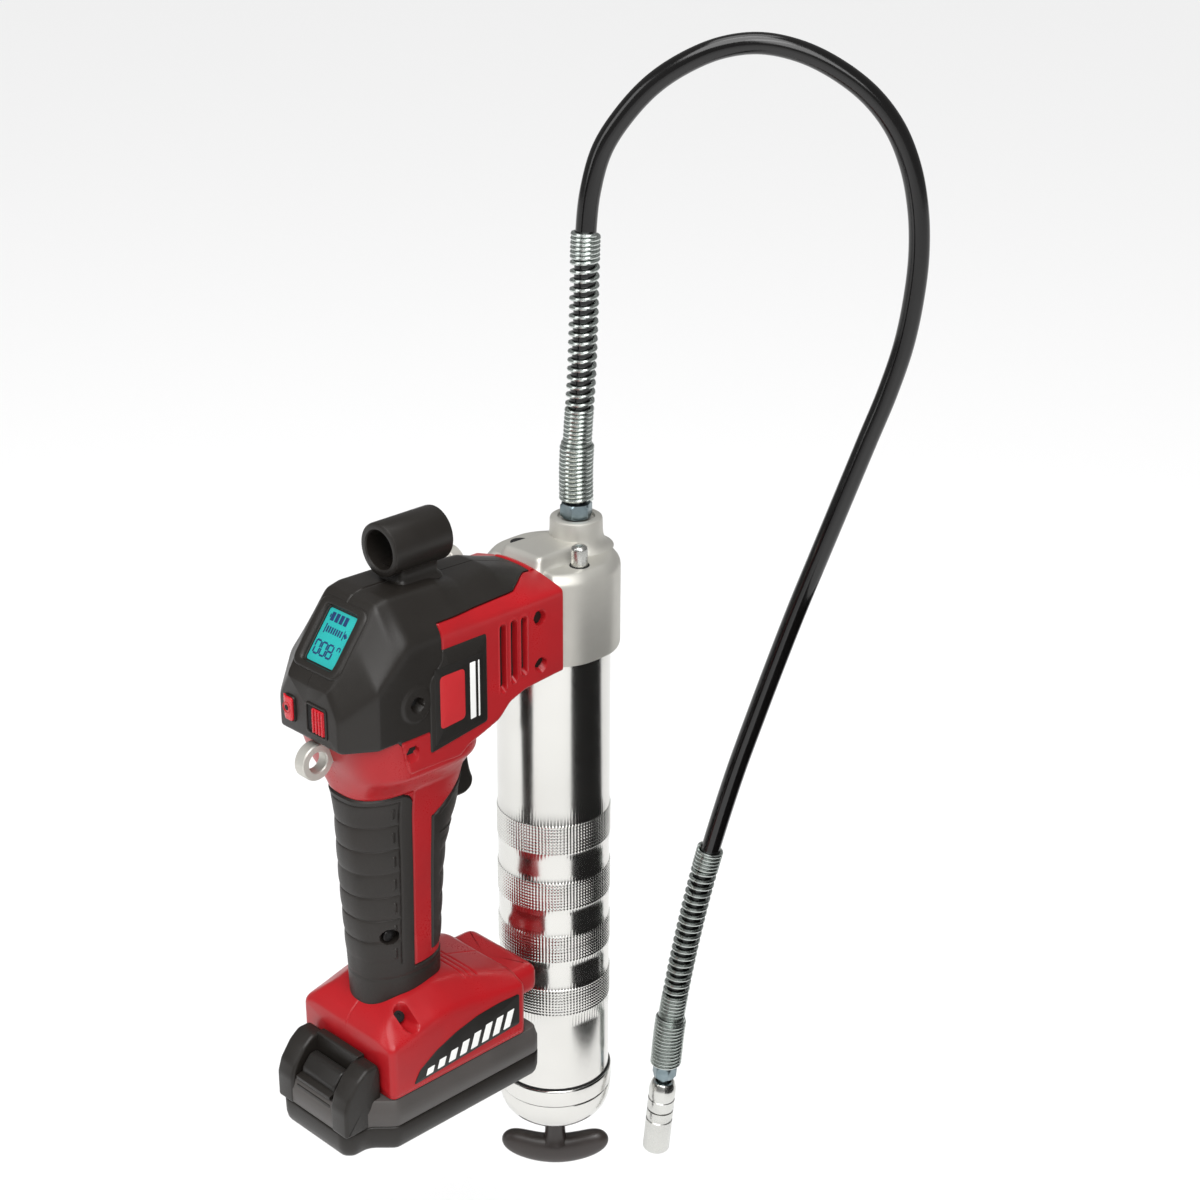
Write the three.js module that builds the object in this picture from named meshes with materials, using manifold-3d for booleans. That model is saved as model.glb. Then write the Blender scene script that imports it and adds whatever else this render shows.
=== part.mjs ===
// Cordless grease gun: a battery pistol-grip tool that pumps grease from a cartridge barrel
// through a whip hose. Millimetres, +Z up, +X towards the barrel, +Y to the tool's left.
// The origin is the middle of the hand grip, where a hand or a stand clamp holds the tool.
import * as THREE from 'three';
import { mergeVertices } from 'three/addons/utils/BufferGeometryUtils.js';
import Module from 'manifold-3d';

const wasm = await Module();
wasm.setup();

// ---- driving dimensions -------------------------------------------------------------------
const GAP = 0.3;                 // clearance between pieces that touch
const RUN_GAP = 0.4;             // clearance between pieces that slide or turn

// barrel, cap, follower rod
const HEAD_BOTTOM = 90;
const BARREL_X = 108;            // barrel axis in front of the grip's middle
const BARREL_R = 28.6;
const BARREL_WALL = 1.2;
const BARREL_INNER = BARREL_R - BARREL_WALL;
const BARREL_LENGTH = 247;       // from the head down to the cap's rim
const BARREL_THREAD = 14;        // length of tube screwed into the head
const KNURL_RAISE = 0.4;         // the knurled bands are left to the surface finish
const GASKET_HEIGHT = 1.6;
const CAP_R = BARREL_R + 1.4;
const CAP_HEIGHT = 33;
const CAP_RIM = HEAD_BOTTOM - BARREL_LENGTH;
const CAP_BOTTOM = CAP_RIM - CAP_HEIGHT;
const CAP_WALL = 1.6;
const CAP_GRIP = 14;             // length of the barrel inside the cap
const ROD_R = 4;
const ROD_NECK_R = 5.5;
const ROD_TOP = HEAD_BOTTOM - 10;
const ROD_GROOVE = 6;            // the catch groove near the rod's top, its height and place
const HANDLE_SPAN = 54;          // T-handle from tip to tip
const HANDLE_TURN = THREE.MathUtils.degToRad(-44.5);
const FOLLOWER_HEIGHT = 14;
const FOLLOWER_Z = CAP_BOTTOM + 70;  // follower with a full cartridge in the barrel
const SPRING_WIRE = 1.6;
const SPRING_TURNS = 6;

// cast head
const BODY_HALF = 31.5;
const HEAD_TOP = 137;            // the side shelves
const HEAD_R = BARREL_R + 4.7;
const HEAD_HALF = Math.min(BODY_HALF + 1.1, HEAD_R - 0.7);
const ISLAND_HALF = 13;
const ISLAND_TOP = 143;
const BOSS_X = 124;
const BOSS_R = 13;
const BOSS_TOP = 152;
const PORT_X = 106;
const PORT_Y = 21;
const PIN_R = 4;
const OUTLET_R = 4;
const PLUG_Z = 124;
const PLUG_R = 6;
const PLUG_DEPTH = 9.5;
const COLLAR_R = BARREL_R + 3.2; // round collar about the barrel's thread
const COLLAR_TOP = 112;
const BLOCK_BACK = 58;           // rear face of the pump block inside the housing
const BLOCK_HALF = 25;
const BLOCK_BOTTOM = 97;
const BLOCK_TOP = 135;

// plastic body
const BODY_FRONT = 85;
const BODY_BACK = -44;
const BODY_TOP = 153;
const PLATEAU_TOP = 147.5;
const SHOULDER_Z = 138.4;        // joint line between the red body and the dark cover
const COVER_BACK_EDGE = 9.5;     // behind this the sides are dark
const COVER_BOTTOM = 87;
const COVER_FRONT = 82;
const WALL = 2.6;
const BODY_BOTTOM = 62;

// grip
const GRIP_TOP = 78;
const GRIP_BOTTOM = -60;
const GRIP_R_TOP = 32;
const GRIP_R_BOTTOM = 26.5;
const GRIP_FLAT = 0.72;          // width of the grip over its depth
const GRIP_LEAN = THREE.MathUtils.degToRad(3);
const GRIP_SKIN = 2.2;
const GRIP_WALL = 2.8;

// foot and battery
const FOOT_BACK = -30.7;
const FOOT_FRONT = 56.6;
const FOOT_HALF = 34.2;
const FOOT_BOTTOM = -98;
const FOOT_REAR_TOP = -66;
const FOOT_RIDGE = -53;
const NOSE_FRONT = 73.5;
const NOSE_HALF = 26;
const NOSE_BOTTOM = -84;
const PACK_FRONT = 66;
const PACK_BACK = -53.5;
const PACK_TAIL_HALF = 26;
const PACK_TAIL_X = -38;
const PACK_CORNER = 3.5;         // chamfer of the front corners
const PACK_BOTTOM = -127;
const PACK_TAIL_TOP = -84;
const PACK_WALL = 2.4;
const RAIL_HALF = 21;
const RAIL_HEIGHT = 9;
const CELL_R = 9.15;
const CELL_LENGTH = 65;
const CELL_COUNT = 5;
const PACK_HALF = CELL_LENGTH / 2 + 3.5;

// trigger, switches, display
const TRIGGER_HALF = 9;
const TRIGGER_FRONT = 50;
const TRIGGER_BOTTOM = 24;
const TRIGGER_TOP = 58;
const TRIGGER_TRAVEL = 6;
const SWITCH_FRONT = 18;
const PLUNGER_R = 2.4;
const MODE = { y0: 9.5, y1: 21, z0: 93.5, z1: 106.5 };
const SPEED = { y0: -12.5, y1: -3.8, z0: 93.5, z1: 106.5, travel: 4 };
const SLOPE_TOP = [-17, 151];    // the display slope on the centre plane
const SLOPE_BOTTOM = [-42, 118];
const DISPLAY_HALF = 17;
const LCD_HALF = 9.2;
const LCD_LENGTH = 25;

// motor and gears
const MOTOR_X = 4;
const MOTOR_Z = 112;
const MOTOR_R = 16;
const MOTOR_LENGTH = 42;
const MOTOR_WALL = 2;
const SUN_TEETH = 12;
const PLANET_TEETH = 15;
const RING_TEETH = 42;
const GEAR_MODULE = 0.8;
const RING_R = RING_TEETH * GEAR_MODULE / 2 + 3.2;
const GEAR_WIDTH = 7;
const PLANET_COUNT = 3;
const PLANET_PIN_R = 1.5;
const CRANK_R = 10;
const CRANK_THROW = 4;
const CRANK_FRONT = BLOCK_BACK + 4;
const PIN_LENGTH = 4;
const YOKE_BACK = CRANK_FRONT + PIN_LENGTH + RUN_GAP;
const STROKE = 4;                // the piston travels this far each way
const PISTON_X = 77;
const PISTON_R = 4;
const YOKE_ARM_HALF = 2;
const PASSAGE_Z = 129;           // cross passage from the piston to the outlet
const PASSAGE_R = 2.2;

// coupler holder, eyelets, screws
const HOLDER_R = 13;
const HOLDER_BORE_R = 9.4;
const HOLDER_LENGTH = 34;
const HOLDER_X = 0;
const HOLDER_Z = 168.5;
const EYELET_R = 9;
const EYELET_BORE_R = 5;
const EYELET_THICK = 6.5;
const EYELET_STEM = 6;
const EYELETS = [                // [name, ring centre, direction of the stem]
  ['eyelet_rear', [-42, 0, 77], [1, 0, 0]],
  ['eyelet_side', [77, BODY_HALF + 9.5, 128], [0, -1, 0]],
];
const EYELET_LENGTH = 16;
const SCREW_R = 2;
const SCREW_HEAD_R = 3.2;
const SCREW_SINK = 4;            // the screws sit this deep below the skin
const SCREW_LENGTH = 12;

// whip hose: it lies in one upright plane through the outlet, turned about Z
const HOSE_R = 5;
const HOSE_TURN = THREE.MathUtils.degToRad(-44.5);
const GUARD_R = 7.2;
const GUARD_FOOT_R = 8.6;
const NUT_R = 8;
const NUT_HEIGHT = 6.7;
const GUARD_LENGTH = 134;
const GUARD_FOOT_LENGTH = 31;
const START = 0.0005;            // the guards stop this share of the hose short of its ends
const COUPLER_R = 7.3;
const COUPLER_NUT_R = 6.6;
const COUPLER_NUT_HEIGHT = 7;
const COUPLER_NECK = 3.5;
const COUPLER_BODY_LENGTH = 18;
const COUPLER_SLEEVE_LENGTH = 26;
const HOSE_ROUTE = [             // [distance from the outlet axis, height]
  [0, 159.3], [0, 178], [1, 198], [2.5, 222], [3.5, 250], [4, 272], [4.5, 292], [6.5, 312],
  [12, 332], [22, 348], [35, 362], [50, 372], [66, 378.5], [83, 380.5], [101, 377], [118, 369],
  [134, 357], [146, 342], [154, 324], [158.5, 304], [160, 284], [159, 264], [155.5, 240],
  [149, 216], [140, 190], [130, 161], [120, 132], [110, 103], [100, 72], [91, 43], [82, 13],
  [74, -17], [66.5, -48], [60, -80], [54.5, -112], [50.5, -141], [48.3, -167],
];

// ---- colours and finishes -----------------------------------------------------------------
const FINISH = {
  red: [0xb2232a, 0.38, 0],
  dark: [0x35312e, 0.55, 0],
  rubber: [0x3a3632, 0.75, 0],
  label: [0x1d1b1a, 0.4, 0],
  cast: [0xbdbab2, 0.5, 0.8],
  steel: [0xc9cbca, 0.2, 1],
  zinc: [0x7d8b8e, 0.35, 1],
  spring: [0xc2c8c2, 0.35, 1],
  handle: [0x2a2422, 0.45, 0],
  hose: [0x0e0d0d, 0.22, 0],
  glass: [0x35b8b4, 0.25, 0],
  board: [0x1f5a3c, 0.6, 0],
  copper: [0xb36a3c, 0.4, 1],
  cell: [0x4a6a8c, 0.45, 0],
};

function piece(name, geometry, finish) {
  const [color, roughness, metalness] = FINISH[finish];
  geometry.computeVertexNormals();
  const mesh = new THREE.Mesh(geometry, new THREE.MeshStandardMaterial({ color, roughness, metalness }));
  mesh.name = name;
  return mesh;
}

// ---- solids -------------------------------------------------------------------------------
function solid(geometry) {
  const bare = geometry.clone();
  bare.deleteAttribute('normal');
  bare.deleteAttribute('uv');
  const merged = mergeVertices(bare, 1e-4);
  const mesh = new wasm.Mesh({
    numProp: 3,
    vertProperties: new Float32Array(merged.attributes.position.array),
    triVerts: new Uint32Array(merged.index.array),
  });
  return new wasm.Manifold(mesh);
}

function geometryOf(shape) {
  const mesh = shape.getMesh();
  const geometry = new THREE.BufferGeometry();
  geometry.setAttribute('position', new THREE.BufferAttribute(new Float32Array(mesh.vertProperties), 3));
  geometry.setIndex(new THREE.BufferAttribute(new Uint32Array(mesh.triVerts), 1));
  return geometry;
}

const join = (...shapes) => shapes.reduce((a, b) => a.add(b));
const cut = (shape, ...tools) => tools.reduce((a, b) => a.subtract(b), shape);
const meet = (...shapes) => shapes.reduce((a, b) => a.intersect(b));

function box(x0, x1, y0, y1, z0, z1) {
  const geometry = new THREE.BoxGeometry(x1 - x0, y1 - y0, z1 - z0);
  geometry.translate((x0 + x1) / 2, (y0 + y1) / 2, (z0 + z1) / 2);
  return solid(geometry);
}

// a straight round bar between two points, with its own radius at each end
function bar(from, to, radius, endRadius = radius, sides = 16) {
  const a = new THREE.Vector3(...from);
  const b = new THREE.Vector3(...to);
  const geometry = new THREE.CylinderGeometry(endRadius, radius, a.distanceTo(b), sides);
  const turn = new THREE.Quaternion();
  turn.setFromUnitVectors(new THREE.Vector3(0, 1, 0), b.clone().sub(a).normalize());
  geometry.applyQuaternion(turn);
  geometry.translate((a.x + b.x) / 2, (a.y + b.y) / 2, (a.z + b.z) / 2);
  return solid(geometry);
}

function flatShape(points) {
  return new THREE.Shape(points.map(([u, v]) => new THREE.Vector2(u, v)));
}

function slab(shape, depth) {
  return new THREE.ExtrudeGeometry(shape, { depth, bevelEnabled: false, curveSegments: 5 });
}

// prisms along each axis; the outline is given in the other two, in the order x, y, z
function prismZ(shape, z0, z1) {
  const geometry = slab(shape, z1 - z0);
  geometry.translate(0, 0, z0);
  return solid(geometry);
}

function prismY(shape, y0, y1) {
  const geometry = slab(shape, y1 - y0);
  geometry.rotateX(Math.PI / 2);
  geometry.translate(0, y1, 0);
  return solid(geometry);
}

function prismX(shape, x0, x1) {
  const geometry = slab(shape, x1 - x0);
  const axes = [new THREE.Vector3(0, 1, 0), new THREE.Vector3(0, 0, 1), new THREE.Vector3(1, 0, 0)];
  geometry.applyMatrix4(new THREE.Matrix4().makeBasis(...axes));
  geometry.translate(x0, 0, 0);
  return solid(geometry);
}

// a turned piece about Z; the profile is [radius, height] and closes on itself or on the axis
function turned(profile, sides = 48) {
  const points = profile.map(([r, z]) => new THREE.Vector2(r, z));
  if (THREE.ShapeUtils.area(points) < 0) points.reverse();
  const geometry = new THREE.LatheGeometry(points, sides);
  geometry.rotateX(Math.PI / 2);
  return geometry;
}

// moves every side of an outline inwards by the same distance; the outline runs anticlockwise
function inset(points, distance) {
  return points.map((point, i) => {
    const before = points[(i + points.length - 1) % points.length];
    const after = points[(i + 1) % points.length];
    const normals = [[before, point], [point, after]].map(([a, b]) => {
      const length = Math.hypot(b[0] - a[0], b[1] - a[1]);
      return [-(b[1] - a[1]) / length, (b[0] - a[0]) / length];
    });
    const scale = distance / (1 + normals[0][0] * normals[1][0] + normals[0][1] * normals[1][1]);
    return [
      point[0] + (normals[0][0] + normals[1][0]) * scale,
      point[1] + (normals[0][1] + normals[1][1]) * scale,
    ];
  });
}

function roundedRect(x0, x1, y0, y1, radius) {
  const shape = new THREE.Shape();
  shape.moveTo(x0 + radius, y0);
  shape.lineTo(x1 - radius, y0);
  shape.absarc(x1 - radius, y0 + radius, radius, -Math.PI / 2, 0);
  shape.lineTo(x1, y1 - radius);
  shape.absarc(x1 - radius, y1 - radius, radius, 0, Math.PI / 2);
  shape.lineTo(x0 + radius, y1);
  shape.absarc(x0 + radius, y1 - radius, radius, Math.PI / 2, Math.PI);
  shape.lineTo(x0, y0 + radius);
  shape.absarc(x0 + radius, y0 + radius, radius, Math.PI, 1.5 * Math.PI);
  return shape;
}

// ---- plastic body -------------------------------------------------------------------------
// the upper body is where a side outline, a front outline and a plan outline meet
function upperBody(shrink) {
  const side = [
    [BODY_FRONT, 91], [BODY_FRONT, 139], [80, 140], [56, PLATEAU_TOP], [33, PLATEAU_TOP + 0.8],
    [20, 152], [-10, BODY_TOP], SLOPE_TOP, SLOPE_BOTTOM, [BODY_BACK, 110],
    [BODY_BACK, COVER_BOTTOM + 5], [-38, COVER_BOTTOM], [-31, BODY_BOTTOM + 8], [-27, BODY_BOTTOM],
    [20, BODY_BOTTOM + 6], [35, 75], [45, 79], [53, 86], [62, 89],
  ];
  const front = [
    [-BODY_HALF, 50], [BODY_HALF, 50], [BODY_HALF, 135], [27, 142], [20, 151], [17, 155],
    [-17, 155], [-20, 151], [-27, 142], [-BODY_HALF, 135],
  ];
  const plan = [
    [-46, -19], [-43, -22], [-29, -BODY_HALF - 1], [90, -BODY_HALF - 1], [90, BODY_HALF + 1],
    [-29, BODY_HALF + 1], [-43, 22], [-46, 19],
  ];
  return meet(
    prismY(flatShape(inset(side, shrink)), -40, 40),
    prismX(flatShape(inset(front, shrink)), -60, 100),
    prismZ(flatShape(inset(plan, shrink)), 40, 160),
  );
}

// the grip is a tapered oval post that leans forward at the top
function gripPost(shrink, z0 = GRIP_BOTTOM, z1 = GRIP_TOP) {
  const height = z1 - z0;
  const radiusAt = (z) => {
    const t = (z - GRIP_BOTTOM) / (GRIP_TOP - GRIP_BOTTOM);
    return GRIP_R_BOTTOM + (GRIP_R_TOP - GRIP_R_BOTTOM) * t * t - shrink;
  };
  const steps = 4;
  const geometry = new THREE.CylinderGeometry(1, 1, height, 22, steps);
  geometry.rotateX(Math.PI / 2);
  geometry.translate(0, 0, (z0 + z1) / 2);
  const place = geometry.attributes.position;
  for (let i = 0; i < place.count; i += 1) {
    const z = place.getZ(i);
    const radius = radiusAt(z);
    place.setX(i, place.getX(i) * radius + Math.tan(GRIP_LEAN) * z);
    place.setY(i, place.getY(i) * (GRIP_FLAT * (radius + shrink) - shrink));
  }
  return solid(geometry);
}

// the foot widens from the grip to the battery, with a nose that reaches towards the barrel
function foot(shrink) {
  const side = [
    [FOOT_BACK, FOOT_BOTTOM - 5], [FOOT_FRONT, FOOT_BOTTOM - 5], [FOOT_FRONT, -66], [22, -54],
    [8, FOOT_RIDGE], [-22, FOOT_RIDGE - 6], [FOOT_BACK, FOOT_REAR_TOP],
  ];
  const front = [
    [-FOOT_HALF, FOOT_BOTTOM - 10], [FOOT_HALF, FOOT_BOTTOM - 10], [FOOT_HALF, -64],
    [20, FOOT_RIDGE + 1], [-20, FOOT_RIDGE + 1], [-FOOT_HALF, -64],
  ];
  const plan = roundedRect(FOOT_BACK + shrink, FOOT_FRONT - shrink, shrink - FOOT_HALF, FOOT_HALF - shrink, 4);
  return meet(
    prismY(flatShape(inset(side, shrink)), -50, 50),
    prismX(flatShape(inset(front, shrink)), -60, 80),
    prismZ(plan, FOOT_BOTTOM, -40),
  );
}

function footNose() {
  const nose = prismZ(roundedRect(FOOT_FRONT - 14, NOSE_FRONT, -NOSE_HALF, NOSE_HALF, 5), NOSE_BOTTOM, -67);
  return cut(nose, bar([BARREL_X, 0, -110], [BARREL_X, 0, -40], BARREL_R + KNURL_RAISE + 1.2, undefined, 64));
}

// the region of the upper body that the dark cover takes, grown by a clearance
function coverRegion(grow) {
  const lower = box(-80, COVER_BACK_EDGE + grow, -60, 60, COVER_BOTTOM - grow, 170);
  const upper = box(-80, COVER_FRONT + grow, -60, 60, SHOULDER_Z - grow, 170);
  return join(lower, upper);
}

const PANEL = { x0: 1.5, x1: 37, z0: 77, z1: 127, depth: 1.6 };

function sidePanelBlock(side, grow) {
  const shape = roundedRect(PANEL.x0 - grow, PANEL.x1 + grow, PANEL.z0 - grow, PANEL.z1 + grow, 4);
  const inner = BODY_HALF - PANEL.depth - grow;
  return side < 0 ? prismY(shape, -BODY_HALF, -inner) : prismY(shape, inner, BODY_HALF);
}

const SCREWS = [                 // [name, x, z, half width of the body there]
  ['screw_head_upper', 70, 124, BODY_HALF],
  ['screw_head_lower', 70.5, 99, BODY_HALF],
  ['screw_cover', -7.5, 104.5, BODY_HALF],
  ['screw_body', -9, 80.5, BODY_HALF - 2],
  ['screw_grip', -13, -22, 17],
  ['screw_foot', 2, -62, 30],
];

function screwHole(x, z, half) {
  return join(
    bar([x, -half - 10, z], [x, -half + SCREW_SINK, z], SCREW_HEAD_R + GAP),
    bar([x, -half - 10, z], [x, 6, z], SCREW_R + 3 * GAP),
  );
}

const VENTS = [                  // [middle x, low z] of each slot in the sides
  [46.2, 93], [53.2, 95.2], [59.8, 97.4],
];
const VENT_TOP = 127.3;
const VENT_WIDTH = 4;
const FOOT_GROOVES = [25.5, 29.5, 33.5];

function ventSlots() {
  const half = VENT_WIDTH / 2;
  return join(...VENTS.map(([x, low]) => (
    box(x - half, x + half, -BODY_HALF - 5, BODY_HALF + 5, low, VENT_TOP)
  )));
}

// shallow cross grooves on the foot in front of the grip
function footGrooves() {
  return join(...FOOT_GROOVES.map((x) => box(x - 0.9, x + 0.9, -FOOT_HALF, FOOT_HALF, -62, -40)));
}

// the space inside the body, the grip and the foot that all the works sit in
function bodyCavity() {
  return join(
    upperBody(WALL),
    gripPost(GRIP_SKIN + GRIP_WALL, GRIP_BOTTOM - 20, GRIP_TOP + 10),
    foot(WALL),
    box(FOOT_BACK - 5, FOOT_FRONT - WALL, -RAIL_HALF - 2, RAIL_HALF + 2, FOOT_BOTTOM - 2, FOOT_BOTTOM + RAIL_HEIGHT + 3),
  );
}

function triggerOpening() {
  return box(15, 60, -TRIGGER_HALF - RUN_GAP, TRIGGER_HALF + RUN_GAP, TRIGGER_BOTTOM - 1, TRIGGER_TOP + 1);
}

function gripRearRegion(grow) {
  return join(
    box(-60, -3 + grow, -40, 40, GRIP_BOTTOM - 10, 54 + grow),
    box(-60, 9 + grow, -40, 40, GRIP_BOTTOM - 10, -42 + grow),
  );
}

function gripFrontRegion(grow) {
  return box(14 - grow, 60, -40, 40, -44 - grow, 16 + grow);
}

function bodyBlank() {
  return join(upperBody(0), gripPost(0), foot(0), footNose());
}

function redBody() {
  const skins = cut(gripPost(-5), gripPost(GRIP_SKIN));
  const skinRoom = meet(skins, join(gripRearRegion(GAP), gripFrontRegion(GAP)));
  return cut(
    bodyBlank(),
    bodyCavity(),
    coverRegion(GAP),
    cut(skinRoom, box(-60, 60, -40, 40, 54 + GAP, 100)),
    sidePanelBlock(-1, GAP),
    sidePanelBlock(1, GAP),
    box(
      BLOCK_BACK - 1, BARREL_X, -BLOCK_HALF - 2 * GAP, BLOCK_HALF + 2 * GAP,
      BLOCK_BOTTOM - 2 * GAP, BLOCK_TOP + 2 * GAP,
    ),
    bar([BARREL_X, 0, HEAD_BOTTOM - 20], [BARREL_X, 0, COLLAR_TOP + GAP], COLLAR_R + GAP, COLLAR_R + GAP, 32),
    ...eyeletRooms(),
    ventSlots(),
    meet(footGrooves(), cut(foot(-1), foot(1.2))),
    triggerOpening(),
    ...SCREWS.map(([, x, z, half]) => screwHole(x, z, half)),
  );
}

function coverShell() {
  const shell = meet(cut(upperBody(0), upperBody(WALL)), coverRegion(0));
  return cut(
    shell,
    sidePanelBlock(-1, GAP),
    sidePanelBlock(1, GAP),
    displayWindow(GAP),
    box(-60, BODY_BACK + 10, MODE.y0, MODE.y1, MODE.z0, MODE.z1),
    box(-60, BODY_BACK + 10, SPEED.y0, SPEED.y1 + SPEED.travel, SPEED.z0, SPEED.z1),
    ...SCREWS.slice(2, 3).map(([, x, z, half]) => screwHole(x, z, half)),
  );
}

// ---- display slope ------------------------------------------------------------------------
const slopeAngle = Math.atan2(SLOPE_TOP[1] - SLOPE_BOTTOM[1], SLOPE_TOP[0] - SLOPE_BOTTOM[0]);
const slopeMiddle = [(SLOPE_TOP[0] + SLOPE_BOTTOM[0]) / 2, (SLOPE_TOP[1] + SLOPE_BOTTOM[1]) / 2];

// places a flat piece, drawn face up about the origin, on the display slope
function onSlope(geometry) {
  geometry.rotateY(-slopeAngle);
  geometry.translate(slopeMiddle[0], 0, slopeMiddle[1]);
  return geometry;
}

function slopeSlab(halfLength, halfWidth, low, high) {
  const geometry = new THREE.BoxGeometry(halfLength * 2, halfWidth * 2, high - low);
  geometry.translate(0, 0, (low + high) / 2);
  return solid(onSlope(geometry));
}

function displayWindow(grow) {
  return slopeSlab(17 + grow, DISPLAY_HALF - 2 + grow, -8, 8);
}

function displayPieces() {
  const bezel = cut(
    slopeSlab(17, DISPLAY_HALF - 2, -3.4, 0),
    slopeSlab(LCD_LENGTH / 2, LCD_HALF, -1.6, 5),
    slopeSlab(LCD_LENGTH / 2 - 1.5, LCD_HALF - 1.5, -6, 5),
  );
  return [
    piece('display_bezel', geometryOf(bezel), 'dark'),
    piece('display_window', geometryOf(slopeSlab(LCD_LENGTH / 2 - GAP, LCD_HALF - GAP, -1.3, -0.3)), 'glass'),
    piece('display_module', geometryOf(slopeSlab(LCD_LENGTH / 2 + 1, LCD_HALF + 2, -7, -3.7)), 'board'),
  ];
}

// ---- shells -------------------------------------------------------------------------------
function halves(shape, name, finish) {
  const right = meet(shape, box(-200, 200, -100, -GAP / 2, -200, 300));
  const left = meet(shape, box(-200, 200, GAP / 2, 100, -200, 300));
  return [
    piece(`${name}_right`, geometryOf(right), finish),
    piece(`${name}_left`, geometryOf(left), finish),
  ];
}

function gripSkins() {
  const skin = cut(gripPost(0), gripPost(GRIP_SKIN - GAP));
  const holes = SCREWS.slice(4, 5).map(([, x, z, half]) => screwHole(x, z, half));
  const belowBody = box(-60, 60, -40, 40, FOOT_RIDGE + 4, BODY_BOTTOM - 8);
  const rear = cut(meet(skin, gripRearRegion(0), belowBody), ...holes);
  const front = meet(skin, gripFrontRegion(0));
  return [piece('grip_rear', geometryOf(rear), 'rubber'), piece('grip_front', geometryOf(front), 'rubber')];
}

function sidePanels() {
  const rows = [[-1, 'side_panel_right'], [1, 'side_panel_left']];
  return rows.map(([side, name]) => {
    const panel = meet(sidePanelBlock(side, 0), upperBody(0));
    return piece(name, geometryOf(panel), 'label');
  });
}

function screws() {
  return SCREWS.map(([name, x, z, half]) => {
    const seat = -half + SCREW_SINK - GAP;
    const cap = bar([x, seat - 2.4, z], [x, seat, z], SCREW_HEAD_R, SCREW_HEAD_R, 14);
    const shank = bar([x, seat - 0.5, z], [x, seat + SCREW_LENGTH, z], SCREW_R, SCREW_R, 8);
    const socket = bar([x, seat - 3, z], [x, seat - 1, z], SCREW_HEAD_R / 2, SCREW_HEAD_R / 2, 6);
    return piece(name, geometryOf(cut(join(cap, shank), socket)), 'zinc');
  });
}

// ---- head and outlet ----------------------------------------------------------------------
function headPlan(radius, half, back) {
  const shape = new THREE.Shape();
  const start = Math.asin(half / radius);
  shape.moveTo(back, -half);
  shape.lineTo(BARREL_X + radius * Math.cos(start), -half);
  shape.absarc(BARREL_X, 0, radius, -start, start, false);
  shape.lineTo(back, half);
  return shape;
}

function head() {
  const outside = join(
    prismZ(headPlan(HEAD_R, HEAD_HALF, BODY_FRONT + GAP), HEAD_BOTTOM, HEAD_TOP - 3),
    prismZ(headPlan(HEAD_R - 3, HEAD_HALF - 3, BODY_FRONT + GAP), HEAD_BOTTOM, HEAD_TOP),
    box(BODY_FRONT + GAP, BOSS_X, -ISLAND_HALF, ISLAND_HALF, HEAD_BOTTOM, ISLAND_TOP),
    bar([BOSS_X, 0, HEAD_BOTTOM + 10], [BOSS_X, 0, BOSS_TOP], BOSS_R, BOSS_R, 28),
    box(BLOCK_BACK, BODY_FRONT + 10, -BLOCK_HALF, BLOCK_HALF, BLOCK_BOTTOM, BLOCK_TOP),
    bar([BARREL_X, 0, HEAD_BOTTOM], [BARREL_X, 0, COLLAR_TOP], COLLAR_R, COLLAR_R, 32),
  );
  const barrelSocket = bar(
    [BARREL_X, 0, HEAD_BOTTOM - 1],
    [BARREL_X, 0, HEAD_BOTTOM + BARREL_THREAD + RUN_GAP + GASKET_HEIGHT + 2 * GAP],
    BARREL_R + RUN_GAP, BARREL_R + RUN_GAP, 40,
  );
  const ports = [-1, 1].map((side) => (
    bar([PORT_X, side * PORT_Y, HEAD_TOP - 13], [PORT_X, side * PORT_Y, 200], PIN_R + RUN_GAP)
  ));
  return cut(
    outside,
    barrelSocket,
    bar([BOSS_X, 0, PASSAGE_Z - 2], [BOSS_X, 0, 200], OUTLET_R + RUN_GAP),
    bar([PISTON_X, 0, PASSAGE_Z], [BOSS_X, 0, PASSAGE_Z], PASSAGE_R, PASSAGE_R, 10),
    bar([PISTON_X, 0, BLOCK_BOTTOM - 5], [PISTON_X, 0, PASSAGE_Z - 1], PISTON_R + RUN_GAP),
    bar([PISTON_X, 0, HEAD_BOTTOM + 12], [BARREL_X - 18, 0, HEAD_BOTTOM + 12], PASSAGE_R, PASSAGE_R, 10),
    yokeRoom(),
    bar([BARREL_X + HEAD_R - PLUG_DEPTH, 0, PLUG_Z], [BARREL_X + 60, 0, PLUG_Z], PLUG_R + GAP),
    ...ports,
    ...SCREWS.slice(0, 2).map(([, x, z, half]) => bar([x, -half - 10, z], [x, -14, z], SCREW_R + 3 * GAP)),
  );
}

function yokeRoom() {
  const armHalf = YOKE_ARM_HALF + RUN_GAP;
  const low = MOTOR_Z + 4 - STROKE - RUN_GAP;
  const high = MOTOR_Z + 5.5 + STROKE + RUN_GAP;
  const arm = box(YOKE_BACK, PISTON_X, -armHalf, armHalf, low, high);
  return join(box(BLOCK_BACK - 5, YOKE_BACK + 3.8, -14, 14, MOTOR_Z - 14, MOTOR_Z + 12), arm);
}

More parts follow.
